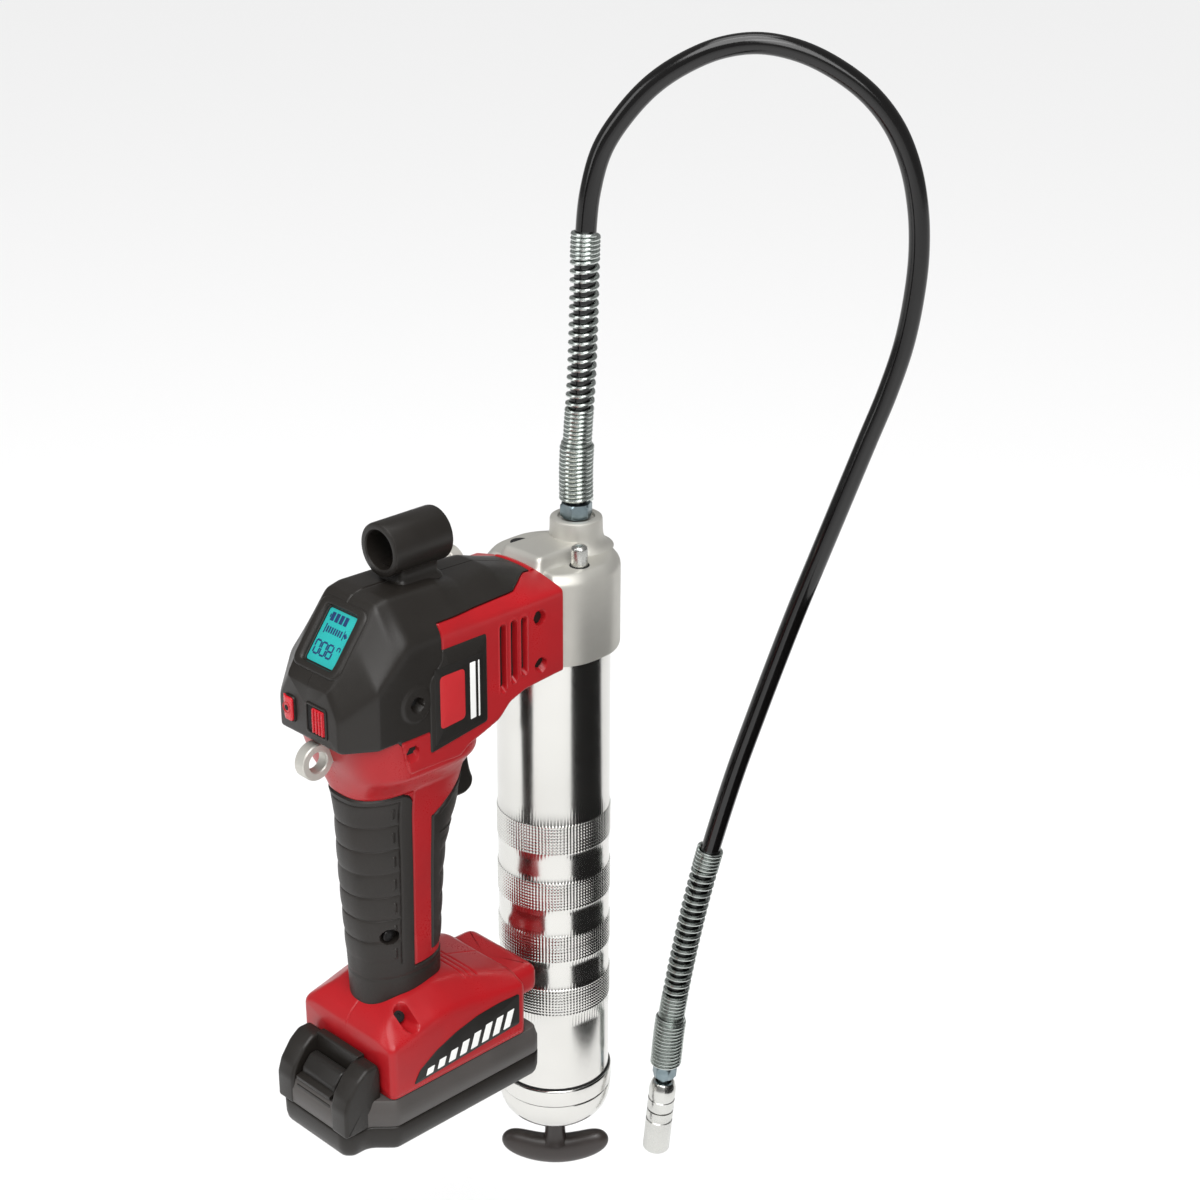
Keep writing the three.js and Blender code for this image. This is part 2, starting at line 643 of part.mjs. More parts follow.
function headPieces() {
  const pin = turned([[0, -6], [PIN_R - 1.6, -6], [PIN_R, -4.5], [PIN_R, 11], [PIN_R - 1, 12], [0, 12]], 24);
  const pinMesh = piece('relief_pin', pin, 'steel');
  pinMesh.position.set(PORT_X, -PORT_Y, HEAD_TOP - 2);
  const plugShape = join(
    bar([BARREL_X + HEAD_R - PLUG_DEPTH + GAP, 0, PLUG_Z], [BARREL_X + HEAD_R + 0.5, 0, PLUG_Z], PLUG_R),
    bar([BARREL_X + HEAD_R + 0.4, 0, PLUG_Z], [BARREL_X + HEAD_R + 3.5, 0, PLUG_Z], PLUG_R + 2.5, PLUG_R + 1.5),
  );
  const nut = new THREE.CylinderGeometry(NUT_R, NUT_R, NUT_HEIGHT, 6);
  nut.rotateX(Math.PI / 2);
  const spigot = bar([0, 0, -NUT_HEIGHT / 2 - 12], [0, 0, 0], OUTLET_R);
  const bore = bar([0, 0, -30], [0, 0, 30], 2);
  const nutMesh = piece('outlet_nut', geometryOf(cut(join(solid(nut), spigot), bore)), 'zinc');
  nutMesh.position.set(BOSS_X, 0, BOSS_TOP + GAP + NUT_HEIGHT / 2);
  const ball = new THREE.SphereGeometry(OUTLET_R - 0.6, 12, 8);
  const ballMesh = piece('check_ball', ball, 'steel');
  ballMesh.position.set(BOSS_X, 0, PASSAGE_Z + 2.5);
  return [
    piece('head', geometryOf(head()), 'cast'),
    piece('filler_plug', geometryOf(plugShape), 'cast'),
    pinMesh,
    nutMesh,
    ballMesh,
  ];
}

// ---- barrel -------------------------------------------------------------------------------
function barrelProfile() {
  const top = HEAD_BOTTOM + BARREL_THREAD;
  const bottom = CAP_RIM - CAP_GRIP;
  return [
    [BARREL_INNER, bottom], [BARREL_R, bottom], [BARREL_R, top], [BARREL_INNER, top], [BARREL_INNER, bottom],
  ];
}

function capProfile() {
  const bottom = CAP_BOTTOM;
  const dome = new THREE.CubicBezierCurve(
    new THREE.Vector2(CAP_R - 0.8, CAP_RIM - 18), new THREE.Vector2(CAP_R - 1, bottom + 6),
    new THREE.Vector2(CAP_R - 6, bottom + 1), new THREE.Vector2(CAP_R / 2, bottom),
  );
  const outer = dome.getPoints(3).map((p) => [p.x, p.y]);
  const inner = outer.map(([r, z]) => [r - CAP_WALL, z + CAP_WALL]).reverse();
  const hole = ROD_R + RUN_GAP;
  return [
    [BARREL_R + GAP, CAP_RIM], [CAP_R, CAP_RIM], [CAP_R, CAP_RIM - 9], [CAP_R - 0.5, CAP_RIM - 9.6],
    ...outer, [hole, bottom], [hole, bottom + CAP_WALL], ...inner,
    [BARREL_INNER, CAP_RIM - CAP_GRIP - GAP], [BARREL_R + GAP, CAP_RIM - CAP_GRIP - GAP],
    [BARREL_R + GAP, CAP_RIM],
  ];
}

function springGeometry() {
  const low = CAP_BOTTOM + CAP_WALL + 7;
  const high = FOLLOWER_Z - 1.5;
  const radius = BARREL_INNER - 4;
  class Helix extends THREE.Curve {
    getPoint(t, target = new THREE.Vector3()) {
      const angle = t * SPRING_TURNS * 2 * Math.PI;
      return target.set(radius * Math.cos(angle), radius * Math.sin(angle), low + 1 + (high - low - 2) * t);
    }
  }
  const section = new THREE.Shape();
  section.absarc(0, 0, SPRING_WIRE / 2, 0, Math.PI * 2);
  return new THREE.ExtrudeGeometry(section, {
    steps: SPRING_TURNS * 8, extrudePath: new Helix(), curveSegments: 3, bevelEnabled: false,
  });
}

function followerProfile() {
  const rim = BARREL_INNER - RUN_GAP;
  const hole = ROD_R + RUN_GAP;
  return [
    [hole, 0], [rim - 6, 0], [rim - 2, 3], [rim, 4], [rim, FOLLOWER_HEIGHT], [rim - 1.5, FOLLOWER_HEIGHT],
    [rim - 2, FOLLOWER_HEIGHT - 8], [hole, FOLLOWER_HEIGHT - 8], [hole, 0],
  ];
}

function tHandle() {
  const half = HANDLE_SPAN / 2;
  const shape = new THREE.Shape();
  shape.moveTo(-half, 1);
  shape.quadraticCurveTo(-half, -9, -half + 14, -14);
  shape.quadraticCurveTo(0, -20, half - 14, -14);
  shape.quadraticCurveTo(half, -9, half, 1);
  shape.quadraticCurveTo(half - 3, 4.5, half - 7, 2);
  shape.quadraticCurveTo(0, -7, -half + 7, 2);
  shape.quadraticCurveTo(-half + 3, 4.5, -half, 1);
  const grip = prismY(shape, -6.5, 6.5);
  const hub = bar([0, 0, -14], [0, 0, 6], ROD_NECK_R + 2.5, ROD_NECK_R + 1);
  return cut(join(grip, hub), bar([0, 0, -11], [0, 0, 20], ROD_R + GAP));
}

function barrelGroup() {
  const group = new THREE.Group();
  group.position.x = BARREL_X;
  const rod = turned([
    [0, CAP_BOTTOM - 24], [ROD_R, CAP_BOTTOM - 24], [ROD_R, ROD_TOP - 2 * ROD_GROOVE],
    [ROD_R - 1.2, ROD_TOP - 2 * ROD_GROOVE], [ROD_R - 1.2, ROD_TOP - ROD_GROOVE],
    [ROD_R, ROD_TOP - ROD_GROOVE], [ROD_R, ROD_TOP], [0, ROD_TOP],
  ], 20);
  const handle = piece('t_handle', geometryOf(tHandle()), 'handle');
  handle.position.z = CAP_BOTTOM - 13.6;
  handle.rotation.z = HANDLE_TURN;
  const follower = piece('follower', turned(followerProfile(), 28), 'rubber');
  follower.position.z = FOLLOWER_Z;
  const gasketInner = BARREL_INNER - 1.4;
  const gasket = turned([
    [gasketInner, 0], [BARREL_R - GAP, 0], [BARREL_R - GAP, GASKET_HEIGHT],
    [gasketInner, GASKET_HEIGHT], [gasketInner, 0],
  ], 28);
  const gasketMesh = piece('barrel_gasket', gasket, 'rubber');
  gasketMesh.position.z = HEAD_BOTTOM + BARREL_THREAD + RUN_GAP + GAP;
  group.add(
    piece('barrel', turned(barrelProfile(), 48), 'steel'),
    piece('end_cap', turned(capProfile(), 36), 'steel'),
    piece('follower_rod', rod, 'steel'),
    piece('follower_spring', springGeometry(), 'spring'),
    handle,
    follower,
    gasketMesh,
  );
  return group;
}

// ---- battery ------------------------------------------------------------------------------
function packPlan(shrink) {
  const tail = PACK_TAIL_HALF;
  const outline = [
    [PACK_BACK, -tail + 4], [PACK_BACK + 4, -tail], [PACK_TAIL_X - 6, -tail], [PACK_TAIL_X + 6, -PACK_HALF],
    [PACK_FRONT - PACK_CORNER, -PACK_HALF], [PACK_FRONT, -PACK_HALF + PACK_CORNER],
    [PACK_FRONT, PACK_HALF - PACK_CORNER], [PACK_FRONT - PACK_CORNER, PACK_HALF], [PACK_TAIL_X + 6, PACK_HALF], [PACK_TAIL_X - 6, tail],
    [PACK_BACK + 4, tail], [PACK_BACK, tail - 4],
  ];
  return flatShape(inset(outline, shrink));
}

const PACK_TOP = FOOT_BOTTOM - GAP;
const LATCH = { half: 13, bottom: -104, top: PACK_TAIL_TOP - 3, depth: 6 };

function batteryCase() {
  const tail = meet(
    prismZ(packPlan(0), PACK_TOP - 6, PACK_TAIL_TOP),
    box(PACK_BACK - 5, FOOT_BACK - 2 * GAP, -PACK_TAIL_HALF - 4, PACK_TAIL_HALF + 4, -200, 0),
  );
  const rails = box(FOOT_BACK + 7, FOOT_FRONT - 6, -RAIL_HALF, RAIL_HALF, PACK_TOP - 5, PACK_TOP + RAIL_HEIGHT);
  const shell = join(prismZ(packPlan(0), PACK_BOTTOM, PACK_TOP), tail, rails);
  const cellRoom = box(
    PACK_FRONT - PACK_WALL - 2 - (CELL_COUNT * 2 + 0.6) * (CELL_R + GAP), PACK_FRONT - PACK_WALL,
    -CELL_LENGTH / 2 - 1, CELL_LENGTH / 2 + 1, PACK_BOTTOM + PACK_WALL, PACK_TOP - PACK_WALL,
  );
  const terminalSlots = [-12, -4, 4, 12].map((y) => (
    box(0, 30, y - 1, y + 1, PACK_TOP - PACK_WALL - 3, PACK_TOP + RAIL_HEIGHT + 1)
  ));
  const latchRoom = box(
    PACK_BACK - 5, PACK_BACK + LATCH.depth + 4, -LATCH.half - RUN_GAP, LATCH.half + RUN_GAP,
    LATCH.bottom - 4, PACK_TAIL_TOP + 5,
  );
  return cut(shell, cellRoom, ...terminalSlots, latchRoom);
}

function batteryPieces() {
  const group = new THREE.Group();
  group.add(piece('battery_case', geometryOf(batteryCase()), 'dark'));
  const first = PACK_FRONT - PACK_WALL - 1.2 - CELL_R;
  for (let i = 0; i < CELL_COUNT; i += 1) {
    const cell = new THREE.CylinderGeometry(CELL_R, CELL_R, CELL_LENGTH, 20);
    const mesh = piece(`cell_${i + 1}`, cell, 'cell');
    mesh.position.set(first - i * 2 * (CELL_R + GAP), 0, PACK_BOTTOM + PACK_WALL + CELL_R + 1.2);
    group.add(mesh);
  }
  const latch = cut(
    box(PACK_BACK + 1, PACK_BACK + LATCH.depth, -LATCH.half, LATCH.half, LATCH.bottom, LATCH.top),
    box(PACK_BACK - 1, PACK_BACK + 3, -LATCH.half + 3, LATCH.half - 3, LATCH.bottom + 4, LATCH.top - 5),
  );
  group.add(piece('battery_latch', geometryOf(latch), 'dark'));
  return group;
}

// ---- controls -----------------------------------------------------------------------------
function controls() {
  const trigger = prismY(flatShape([
    [27, TRIGGER_BOTTOM], [TRIGGER_FRONT - 4, TRIGGER_BOTTOM + 1], [TRIGGER_FRONT, TRIGGER_BOTTOM + 8],
    [TRIGGER_FRONT - 3, TRIGGER_TOP - 10], [TRIGGER_FRONT - 8, TRIGGER_TOP], [27, TRIGGER_TOP],
  ]), -TRIGGER_HALF, TRIGGER_HALF);
  const middle = (TRIGGER_BOTTOM + TRIGGER_TOP) / 2;
  const plunger = bar([SWITCH_FRONT - 2, 0, middle], [29, 0, middle], PLUNGER_R, PLUNGER_R, 12);
  const switchBody = cut(
    box(-6, SWITCH_FRONT, -8, 8, TRIGGER_BOTTOM + 2, TRIGGER_TOP - 4),
    bar(
      [SWITCH_FRONT - TRIGGER_TRAVEL - 3, 0, middle], [SWITCH_FRONT + 1, 0, middle],
      PLUNGER_R + RUN_GAP, PLUNGER_R + RUN_GAP, 12,
    ),
  );
  const modeButton = box(
    BODY_BACK - 1, BODY_BACK + 6, MODE.y0 + RUN_GAP, MODE.y1 - RUN_GAP, MODE.z0 + RUN_GAP, MODE.z1 - RUN_GAP,
  );
  const speedSwitch = box(
    BODY_BACK - 0.6, BODY_BACK + 5, SPEED.y0 + RUN_GAP, SPEED.y1 - RUN_GAP, SPEED.z0 + RUN_GAP, SPEED.z1 - RUN_GAP,
  );
  const board = box(-30, -27, -20, 20, 88, 116);
  return [
    piece('trigger', geometryOf(join(trigger, plunger)), 'dark'),
    piece('trigger_switch', geometryOf(switchBody), 'dark'),
    piece('mode_button', geometryOf(modeButton), 'red'),
    piece('speed_switch', geometryOf(speedSwitch), 'red'),
    piece('control_board', geometryOf(board), 'board'),
  ];
}

// ---- coupler holder and strap eyelets -----------------------------------------------------
function couplerHolder() {
  const tube = bar([HOLDER_X, 0, HOLDER_Z], [HOLDER_X + HOLDER_LENGTH, 0, HOLDER_Z], HOLDER_R, HOLDER_R, 28);
  const pedestal = box(HOLDER_X + 6, HOLDER_X + HOLDER_LENGTH - 6, -8, 8, BODY_TOP + GAP, HOLDER_Z - 4);
  const bore = bar(
    [HOLDER_X - 1, 0, HOLDER_Z], [HOLDER_X + HOLDER_LENGTH + 1, 0, HOLDER_Z], HOLDER_BORE_R, HOLDER_BORE_R, 28,
  );
  return piece('coupler_holder', geometryOf(cut(join(tube, pedestal), bore)), 'rubber');
}

// a cast ring on a square stem; it is drawn with the stem along +X and its hole along Y
function eyeletShape(ringR, boreR, thick, stem, length) {
  const ring = bar([0, -thick / 2, 0], [0, thick / 2, 0], ringR, ringR, 24);
  const post = box(0, length, -stem / 2, stem / 2, -stem / 2, stem / 2);
  const body = join(ring, post);
  return boreR > 0 ? cut(body, bar([0, -thick, 0], [0, thick, 0], boreR, boreR, 20)) : body;
}

function eyeletPlace([, centre, heading]) {
  const turn = new THREE.Quaternion().setFromUnitVectors(new THREE.Vector3(1, 0, 0), new THREE.Vector3(...heading));
  return [new THREE.Vector3(...centre), turn];
}

function eyelets() {
  return EYELETS.map((row) => {
    const [centre, turn] = eyeletPlace(row);
    const shape = eyeletShape(EYELET_R, EYELET_BORE_R, EYELET_THICK, EYELET_STEM, EYELET_LENGTH);
    const mesh = piece(row[0], geometryOf(shape), 'cast');
    mesh.position.copy(centre);
    mesh.quaternion.copy(turn);
    return mesh;
  });
}

// the room that each eyelet takes in the red body
function eyeletRooms() {
  return EYELETS.map((row) => {
    const [centre, turn] = eyeletPlace(row);
    const shape = eyeletShape(
      EYELET_R + GAP, 0, EYELET_THICK + 2 * GAP, EYELET_STEM + 2 * GAP, EYELET_LENGTH + 1,
    );
    const geometry = geometryOf(shape);
    geometry.applyQuaternion(turn);
    geometry.translate(centre.x, centre.y, centre.z);
    return solid(geometry);
  });
}

// ---- motor and gears ----------------------------------------------------------------------
// a spur gear whose teeth stand just clear of the next gear's
function gearShape(teeth) {
  const pitch = teeth * GEAR_MODULE / 2;
  const tip = pitch - 0.2;
  const root = pitch - GEAR_MODULE * 0.9;
  const shape = new THREE.Shape();
  for (let i = 0; i < teeth; i += 1) {
    [[root, -0.28], [tip, -0.14], [tip, 0.14], [root, 0.28]].forEach(([radius, share], k) => {
      const angle = (i + share) * 2 * Math.PI / teeth;
      const point = [radius * Math.cos(angle), radius * Math.sin(angle)];
      if (i === 0 && k === 0) shape.moveTo(...point);
      else shape.lineTo(...point);
    });
  }
  return shape;
}

function driveTrain() {
  const back = MOTOR_X - MOTOR_LENGTH / 2;
  const front = MOTOR_X + MOTOR_LENGTH / 2;
  const gearBack = front + 4;
  const gearFront = gearBack + GEAR_WIDTH;
  const ringBore = RING_TEETH * GEAR_MODULE / 2 + 0.6;
  const orbit = (SUN_TEETH + PLANET_TEETH) * GEAR_MODULE / 2;
  const seats = Array.from({ length: PLANET_COUNT }, (_, i) => {
    const angle = Math.PI / 2 + i * 2 * Math.PI / PLANET_COUNT;
    return [orbit * Math.cos(angle), orbit * Math.sin(angle)];
  });
  const can = cut(
    bar([back, 0, 0], [front, 0, 0], MOTOR_R, MOTOR_R, 32),
    bar([back + MOTOR_WALL, 0, 0], [front + 1, 0, 0], MOTOR_R - MOTOR_WALL, MOTOR_R - MOTOR_WALL, 32),
    bar([back - 1, 0, 0], [back + 3, 0, 0], 3.4, 3.4, 16),
  );
  const rotorR = MOTOR_R - 2 * MOTOR_WALL;
  const rotor = join(
    bar([back + 4, 0, 0], [front - 8, 0, 0], rotorR, rotorR, 28),
    bar([back - 2, 0, 0], [gearBack - 1, 0, 0], 2.5, 2.5, 14),
    bar([front - 9, 0, 0], [front - 6, 0, 0], 5, 5, 14),
    bar([front - 6.5, 0, 0], [front - 2, 0, 0], rotorR, rotorR, 20),
  );
  const sun = join(
    prismX(gearShape(SUN_TEETH), gearBack, gearFront),
    bar([gearBack - 0.7, 0, 0], [gearBack, 0, 0], 3, 3, 14),
  );
  const ring = cut(
    bar([front + 1, 0, 0], [gearFront + 3, 0, 0], RING_R, RING_R, 36),
    bar([front + 3, 0, 0], [gearFront + 4, 0, 0], ringBore, ringBore, 60),
    bar([front, 0, 0], [front + 4, 0, 0], 4, 4, 20),
  );
  const carrierBack = gearFront + 0.6;
  const carrier = join(
    bar([carrierBack, 0, 0], [carrierBack + 2.5, 0, 0], orbit + 3, orbit + 3, 32),
    bar([carrierBack, 0, 0], [CRANK_FRONT, 0, 0], 5, 5, 20),
    bar([CRANK_FRONT - 3, 0, 0], [CRANK_FRONT, 0, 0], CRANK_R, CRANK_R, 32),
    bar([CRANK_FRONT - 1, 0, CRANK_THROW], [CRANK_FRONT + PIN_LENGTH, 0, CRANK_THROW], 2.5, 2.5, 16),
    ...seats.map(([y, z]) => bar([gearBack, y, z], [carrierBack + 1, y, z], PLANET_PIN_R, PLANET_PIN_R, 12)),
  );
  const planets = seats.map(([y, z], i) => {
    const planet = cut(
      prismX(gearShape(PLANET_TEETH), gearBack, gearFront),
      bar([gearBack - 1, 0, 0], [gearFront + 1, 0, 0], PLANET_PIN_R + GAP, PLANET_PIN_R + GAP, 12),
    );
    const mesh = piece(`planet_gear_${i + 1}`, geometryOf(planet), 'steel');
    mesh.position.set(0, y, z);
    return mesh;
  });
  const group = new THREE.Group();
  group.position.z = MOTOR_Z;
  group.add(
    piece('motor_can', geometryOf(can), 'steel'),
    piece('motor_rotor', geometryOf(rotor), 'copper'),
    piece('sun_gear', geometryOf(sun), 'steel'),
    piece('ring_gear', geometryOf(ring), 'steel'),
    piece('crank_carrier', geometryOf(carrier), 'steel'),
    ...planets,
  );
  return group;
}

function pumpPiston() {
  const plate = cut(
    box(YOKE_BACK, YOKE_BACK + 3, -9, 9, -5.5, 5.5),
    box(YOKE_BACK - 1, YOKE_BACK + 4, -6.8, 6.8, -2.8, 2.8),
  );
  const arm = box(YOKE_BACK + 2, PISTON_X + 1, -YOKE_ARM_HALF, YOKE_ARM_HALF, 4, 5.5);
  const piston = bar([PISTON_X, 0, -0.5], [PISTON_X, 0, 9], PISTON_R, PISTON_R, 20);
  const mesh = piece('pump_piston', geometryOf(join(plate, arm, piston)), 'steel');
  mesh.position.z = MOTOR_Z;
  return mesh;
}

// ---- whip hose ----------------------------------------------------------------------------
const alongHose = [Math.cos(HOSE_TURN), Math.sin(HOSE_TURN)];
const hoseCurve = new THREE.CatmullRomCurve3(HOSE_ROUTE.map(([s, z]) => (
  new THREE.Vector3(BOSS_X + s * alongHose[0], s * alongHose[1], z)
)), false, 'centripetal');

class HosePart extends THREE.Curve {
  constructor(start, end) {
    super();
    this.start = start;
    this.end = end;
  }

  getPoint(t, target = new THREE.Vector3()) {
    return hoseCurve.getPointAt(this.start + (this.end - this.start) * t, target);
  }
}

function roundSection(radius, bore) {
  const section = new THREE.Shape();
  section.absarc(0, 0, radius, 0, Math.PI * 2);
  if (bore) {
    const hole = new THREE.Path();
    hole.absarc(0, 0, bore, 0, Math.PI * 2);
    section.holes.push(hole);
  }
  return section;
}

function sweep(section, curve, steps) {
  return new THREE.ExtrudeGeometry(section, {
    steps, extrudePath: curve, curveSegments: 4, bevelEnabled: false,
  });
}

function hosePieces() {
  const total = hoseCurve.getLength();
  const share = GUARD_LENGTH / total;
  const foot = GUARD_FOOT_LENGTH / total;
  const bore = HOSE_R + GAP;
  const hoseRun = sweep(roundSection(HOSE_R), new HosePart(0, 1), 50);
  const upper = join(
    solid(sweep(roundSection(GUARD_R, bore), new HosePart(START, share), 9)),
    solid(sweep(roundSection(GUARD_FOOT_R, bore), new HosePart(START, foot), 2)),
  );
  const lower = join(
    solid(sweep(roundSection(GUARD_R, bore), new HosePart(1 - share, 1 - START), 10)),
    solid(sweep(roundSection(GUARD_FOOT_R, bore), new HosePart(1 - foot, 1 - START), 3)),
  );
  const end = hoseCurve.getPointAt(1);
  const heading = hoseCurve.getTangentAt(1);
  const group = new THREE.Group();
  group.position.copy(end);
  group.quaternion.setFromUnitVectors(new THREE.Vector3(0, 0, -1), heading);
  const nut = new THREE.CylinderGeometry(COUPLER_NUT_R, COUPLER_NUT_R, COUPLER_NUT_HEIGHT, 6);
  nut.rotateX(Math.PI / 2);
  nut.translate(0, 0, -GAP - COUPLER_NUT_HEIGHT / 2);
  const top = -GAP - COUPLER_NUT_HEIGHT - COUPLER_NECK;
  const nutShape = join(solid(nut), bar([0, 0, -COUPLER_NUT_HEIGHT], [0, 0, top - 4], COUPLER_R - 4.1));
  const bodyEnd = top - COUPLER_BODY_LENGTH;
  const body = turned([
    [4, top], [COUPLER_R - 1.5, top], [COUPLER_R, top - 4], [COUPLER_R, bodyEnd],
    [4.6, bodyEnd], [4.6, bodyEnd + 6], [4, bodyEnd + 6], [4, top],
  ], 18);
  const sleeveTop = bodyEnd - GAP;
  const tip = sleeveTop - COUPLER_SLEEVE_LENGTH;
  const sleeve = turned([
    [3, tip], [COUPLER_R - 1, tip], [COUPLER_R, tip + 1], [COUPLER_R, sleeveTop],
    [5, sleeveTop], [5, tip + 6], [3, tip + 3], [3, tip],
  ], 18);
  const jaws = turned([
    [1.2, tip + 7], [3.4, tip + 7], [4.2, tip + 10], [4.2, sleeveTop + 4],
    [1.2, sleeveTop + 4], [1.2, tip + 7],
  ], 16);
  group.add(
    piece('coupler_nut', geometryOf(nutShape), 'zinc'),
    piece('coupler_body', body, 'steel'),
    piece('coupler_sleeve', sleeve, 'steel'),
    piece('coupler_jaws', jaws, 'steel'),
  );
  return [
    piece('hose', hoseRun, 'hose'),
    piece('hose_guard_upper', geometryOf(upper), 'spring'),
    piece('hose_guard_lower', geometryOf(lower), 'spring'),
    group,
  ];
}

// ---- assembly -----------------------------------------------------------------------------
const gun = new THREE.Group();
gun.add(
  ...halves(redBody(), 'housing', 'red'),
  ...halves(coverShell(), 'cover', 'dark'),
  ...sidePanels(),
  ...gripSkins(),
  ...displayPieces(),
  ...screws(),
  ...headPieces(),
  barrelGroup(),
  batteryPieces(),
  ...controls(),
  couplerHolder(),
  ...eyelets(),
  driveTrain(),
  pumpPiston(),
  ...hosePieces(),
);

export default gun;
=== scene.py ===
"""Cordless grease gun: the finished surfaces and the studio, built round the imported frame.

Lengths are in millimetres while a surface is worked out and in metres once it is a mesh.
+Z is up, +X runs from the hand grip towards the barrel and +Y is the tool's left.
"""
import math

import bpy
import numpy as np
from bpy.props import FloatProperty, FloatVectorProperty, PointerProperty
from mathutils import Matrix, Vector


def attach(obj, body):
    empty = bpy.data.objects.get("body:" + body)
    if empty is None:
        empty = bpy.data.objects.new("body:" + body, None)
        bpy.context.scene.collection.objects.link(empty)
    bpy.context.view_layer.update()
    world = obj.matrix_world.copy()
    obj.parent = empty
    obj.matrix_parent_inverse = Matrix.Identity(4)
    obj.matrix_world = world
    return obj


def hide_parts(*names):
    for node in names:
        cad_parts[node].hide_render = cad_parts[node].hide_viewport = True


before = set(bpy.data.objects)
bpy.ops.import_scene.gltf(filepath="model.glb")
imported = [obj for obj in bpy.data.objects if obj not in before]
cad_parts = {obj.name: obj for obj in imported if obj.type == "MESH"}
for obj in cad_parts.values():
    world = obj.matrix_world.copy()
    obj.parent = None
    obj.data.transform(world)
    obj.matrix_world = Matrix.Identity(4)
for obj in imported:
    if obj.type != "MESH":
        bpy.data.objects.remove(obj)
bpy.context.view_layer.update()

bl_info = {
    "name": "Cordless grease gun",
    "version": (1, 0, 0),
    "blender": (4, 5, 0),
    "location": "View3D > Sidebar > Grease gun",
    "description": "Builds the grease gun's finished pieces and its studio round the frame",
    "category": "Add Mesh",
}

MM = 0.001


# ---- surfaces ---------------------------------------------------------------------------------
def grid_quads(rows, cols, wrap):
    """Quads between neighbouring points of a grid; with wrap the last column joins the first."""
    index = np.arange(rows * cols).reshape(rows, cols)
    if wrap:
        index = np.concatenate([index, index[:, :1]], axis=1)
    corners = [index[:-1, :-1], index[:-1, 1:], index[1:, 1:], index[1:, :-1]]
    return np.stack(corners, axis=-1).reshape(-1, 4)


def stacked(rings):
    """A closed skin over a stack of rings: quads between rings, and a fan from each end ring's middle."""
    rows, cols = rings.shape[:2]
    points = np.concatenate([rings.reshape(-1, 3), rings[[0, -1]].mean(axis=1)])
    here = np.arange(cols)
    after = np.roll(here, -1)
    first = np.full(cols, rows * cols)
    last = (rows - 1) * cols
    fans = [np.stack([first, after, here], axis=-1),
            np.stack([first + 1, here + last, after + last], axis=-1)]
    return points, grid_quads(rows, cols, True), np.concatenate(fans)


def looped(rings):
    """A closed skin over a stack of rings whose last ring joins the first, as on a pipe's wall."""
    rows, cols = rings.shape[:2]
    quads = grid_quads(rows + 1, cols, True) % (rows * cols)
    return rings.reshape(-1, 3), quads, np.zeros((0, 3), int)


def moved(skin, origin=(0, 0, 0), direction=(0, 0, 1), turn=0.0):
    """The skin turned about Z, then with its Z laid along a direction, then carried to a place."""
    points, quads, tris = skin
    aim = Vector((0, 0, 1)).rotation_difference(Vector(direction)).to_matrix()
    matrix = np.array(aim @ Matrix.Rotation(turn, 3, "Z"))
    return points @ matrix.T + np.array(origin, float), quads, tris


def flipped(skin, signs):
    """The skin with each coordinate multiplied by plus or minus one."""
    points, quads, tris = skin
    return points * signs, quads, tris


def turned(profile, sides=64, closed=False):
    """Points at radius r and height z for each (r, z) of the profile, at even angles round Z."""
    rows = np.array(profile, float)
    angle = np.linspace(0, 2 * np.pi, sides, endpoint=False)
    ring = np.stack([np.cos(angle), np.sin(angle), np.ones(sides)], axis=-1)
    scale = np.stack([rows[:, 0], rows[:, 0], rows[:, 1]], axis=-1)
    rings = ring[None] * scale[:, None]
    return looped(rings) if closed else stacked(rings)


def wall_radius(angles, walls, sharpness):
    """Distance from the middle to a convex outline in each direction. A straight wall at distance h whose
    normal points along a gives h / cos(angle - a); the walls are blended by a power mean, which rounds
    the corners, more so the lower the sharpness. Distances and normals may be one for each row."""
    total = 0.0
    for normal, distance in walls:
        normal = np.atleast_1d(np.asarray(normal, float))[:, None]
        distance = np.atleast_1d(np.asarray(distance, float))[:, None]
        reach = np.clip(np.cos(angles - normal), 0, None) / distance
        total = total + reach ** sharpness
    return total ** (-1.0 / sharpness)


def eased_ends(low, high, edge, steps=5):
    """Heights and insets of rings between two faces, whose edges are quarter circles of the same radius."""
    t = np.linspace(0, np.pi / 2, steps)
    rise, draw = edge * (1 - np.cos(t)), edge * (1 - np.sin(t))
    return np.concatenate([low + rise, high - rise[::-1]]), np.concatenate([draw, draw[::-1]])


def block(x0, x1, y0, y1, z0, z1, corner=1.5, edge=0.8, sides=72):
    """A box with rounded upright corners and eased top and bottom edges, as stacked plan rings."""
    middle = ((x0 + x1) / 2, (y0 + y1) / 2)
    a, b = (x1 - x0) / 2, (y1 - y0) / 2
    angle = np.linspace(0, 2 * np.pi, sides, endpoint=False)
    angle = np.arctan2(np.sin(angle) * b, np.cos(angle) * a)
    core = wall_radius(angle, [(0, a), (np.pi / 2, b), (np.pi, a), (-np.pi / 2, b)], 60)
    x, y = (core * np.cos(angle))[0], (core * np.sin(angle))[0]
    inner = np.stack([np.clip(x, corner - a, a - corner), np.clip(y, corner - b, b - corner)], axis=-1)
    away = np.stack([x, y], axis=-1) - inner
    away *= corner / np.maximum(np.linalg.norm(away, axis=-1, keepdims=True), 1e-6)
    flat = inner + away
    heights, insets = eased_ends(z0, z1, edge)
    shrink = 1 - insets[:, None, None] / np.maximum(np.linalg.norm(flat, axis=-1), 1e-6)[None, :, None]
    rings = flat[None] * shrink + np.array(middle)
    z = np.broadcast_to(heights[:, None, None], rings.shape[:2] + (1,))
    return stacked(np.concatenate([rings, z], axis=-1))


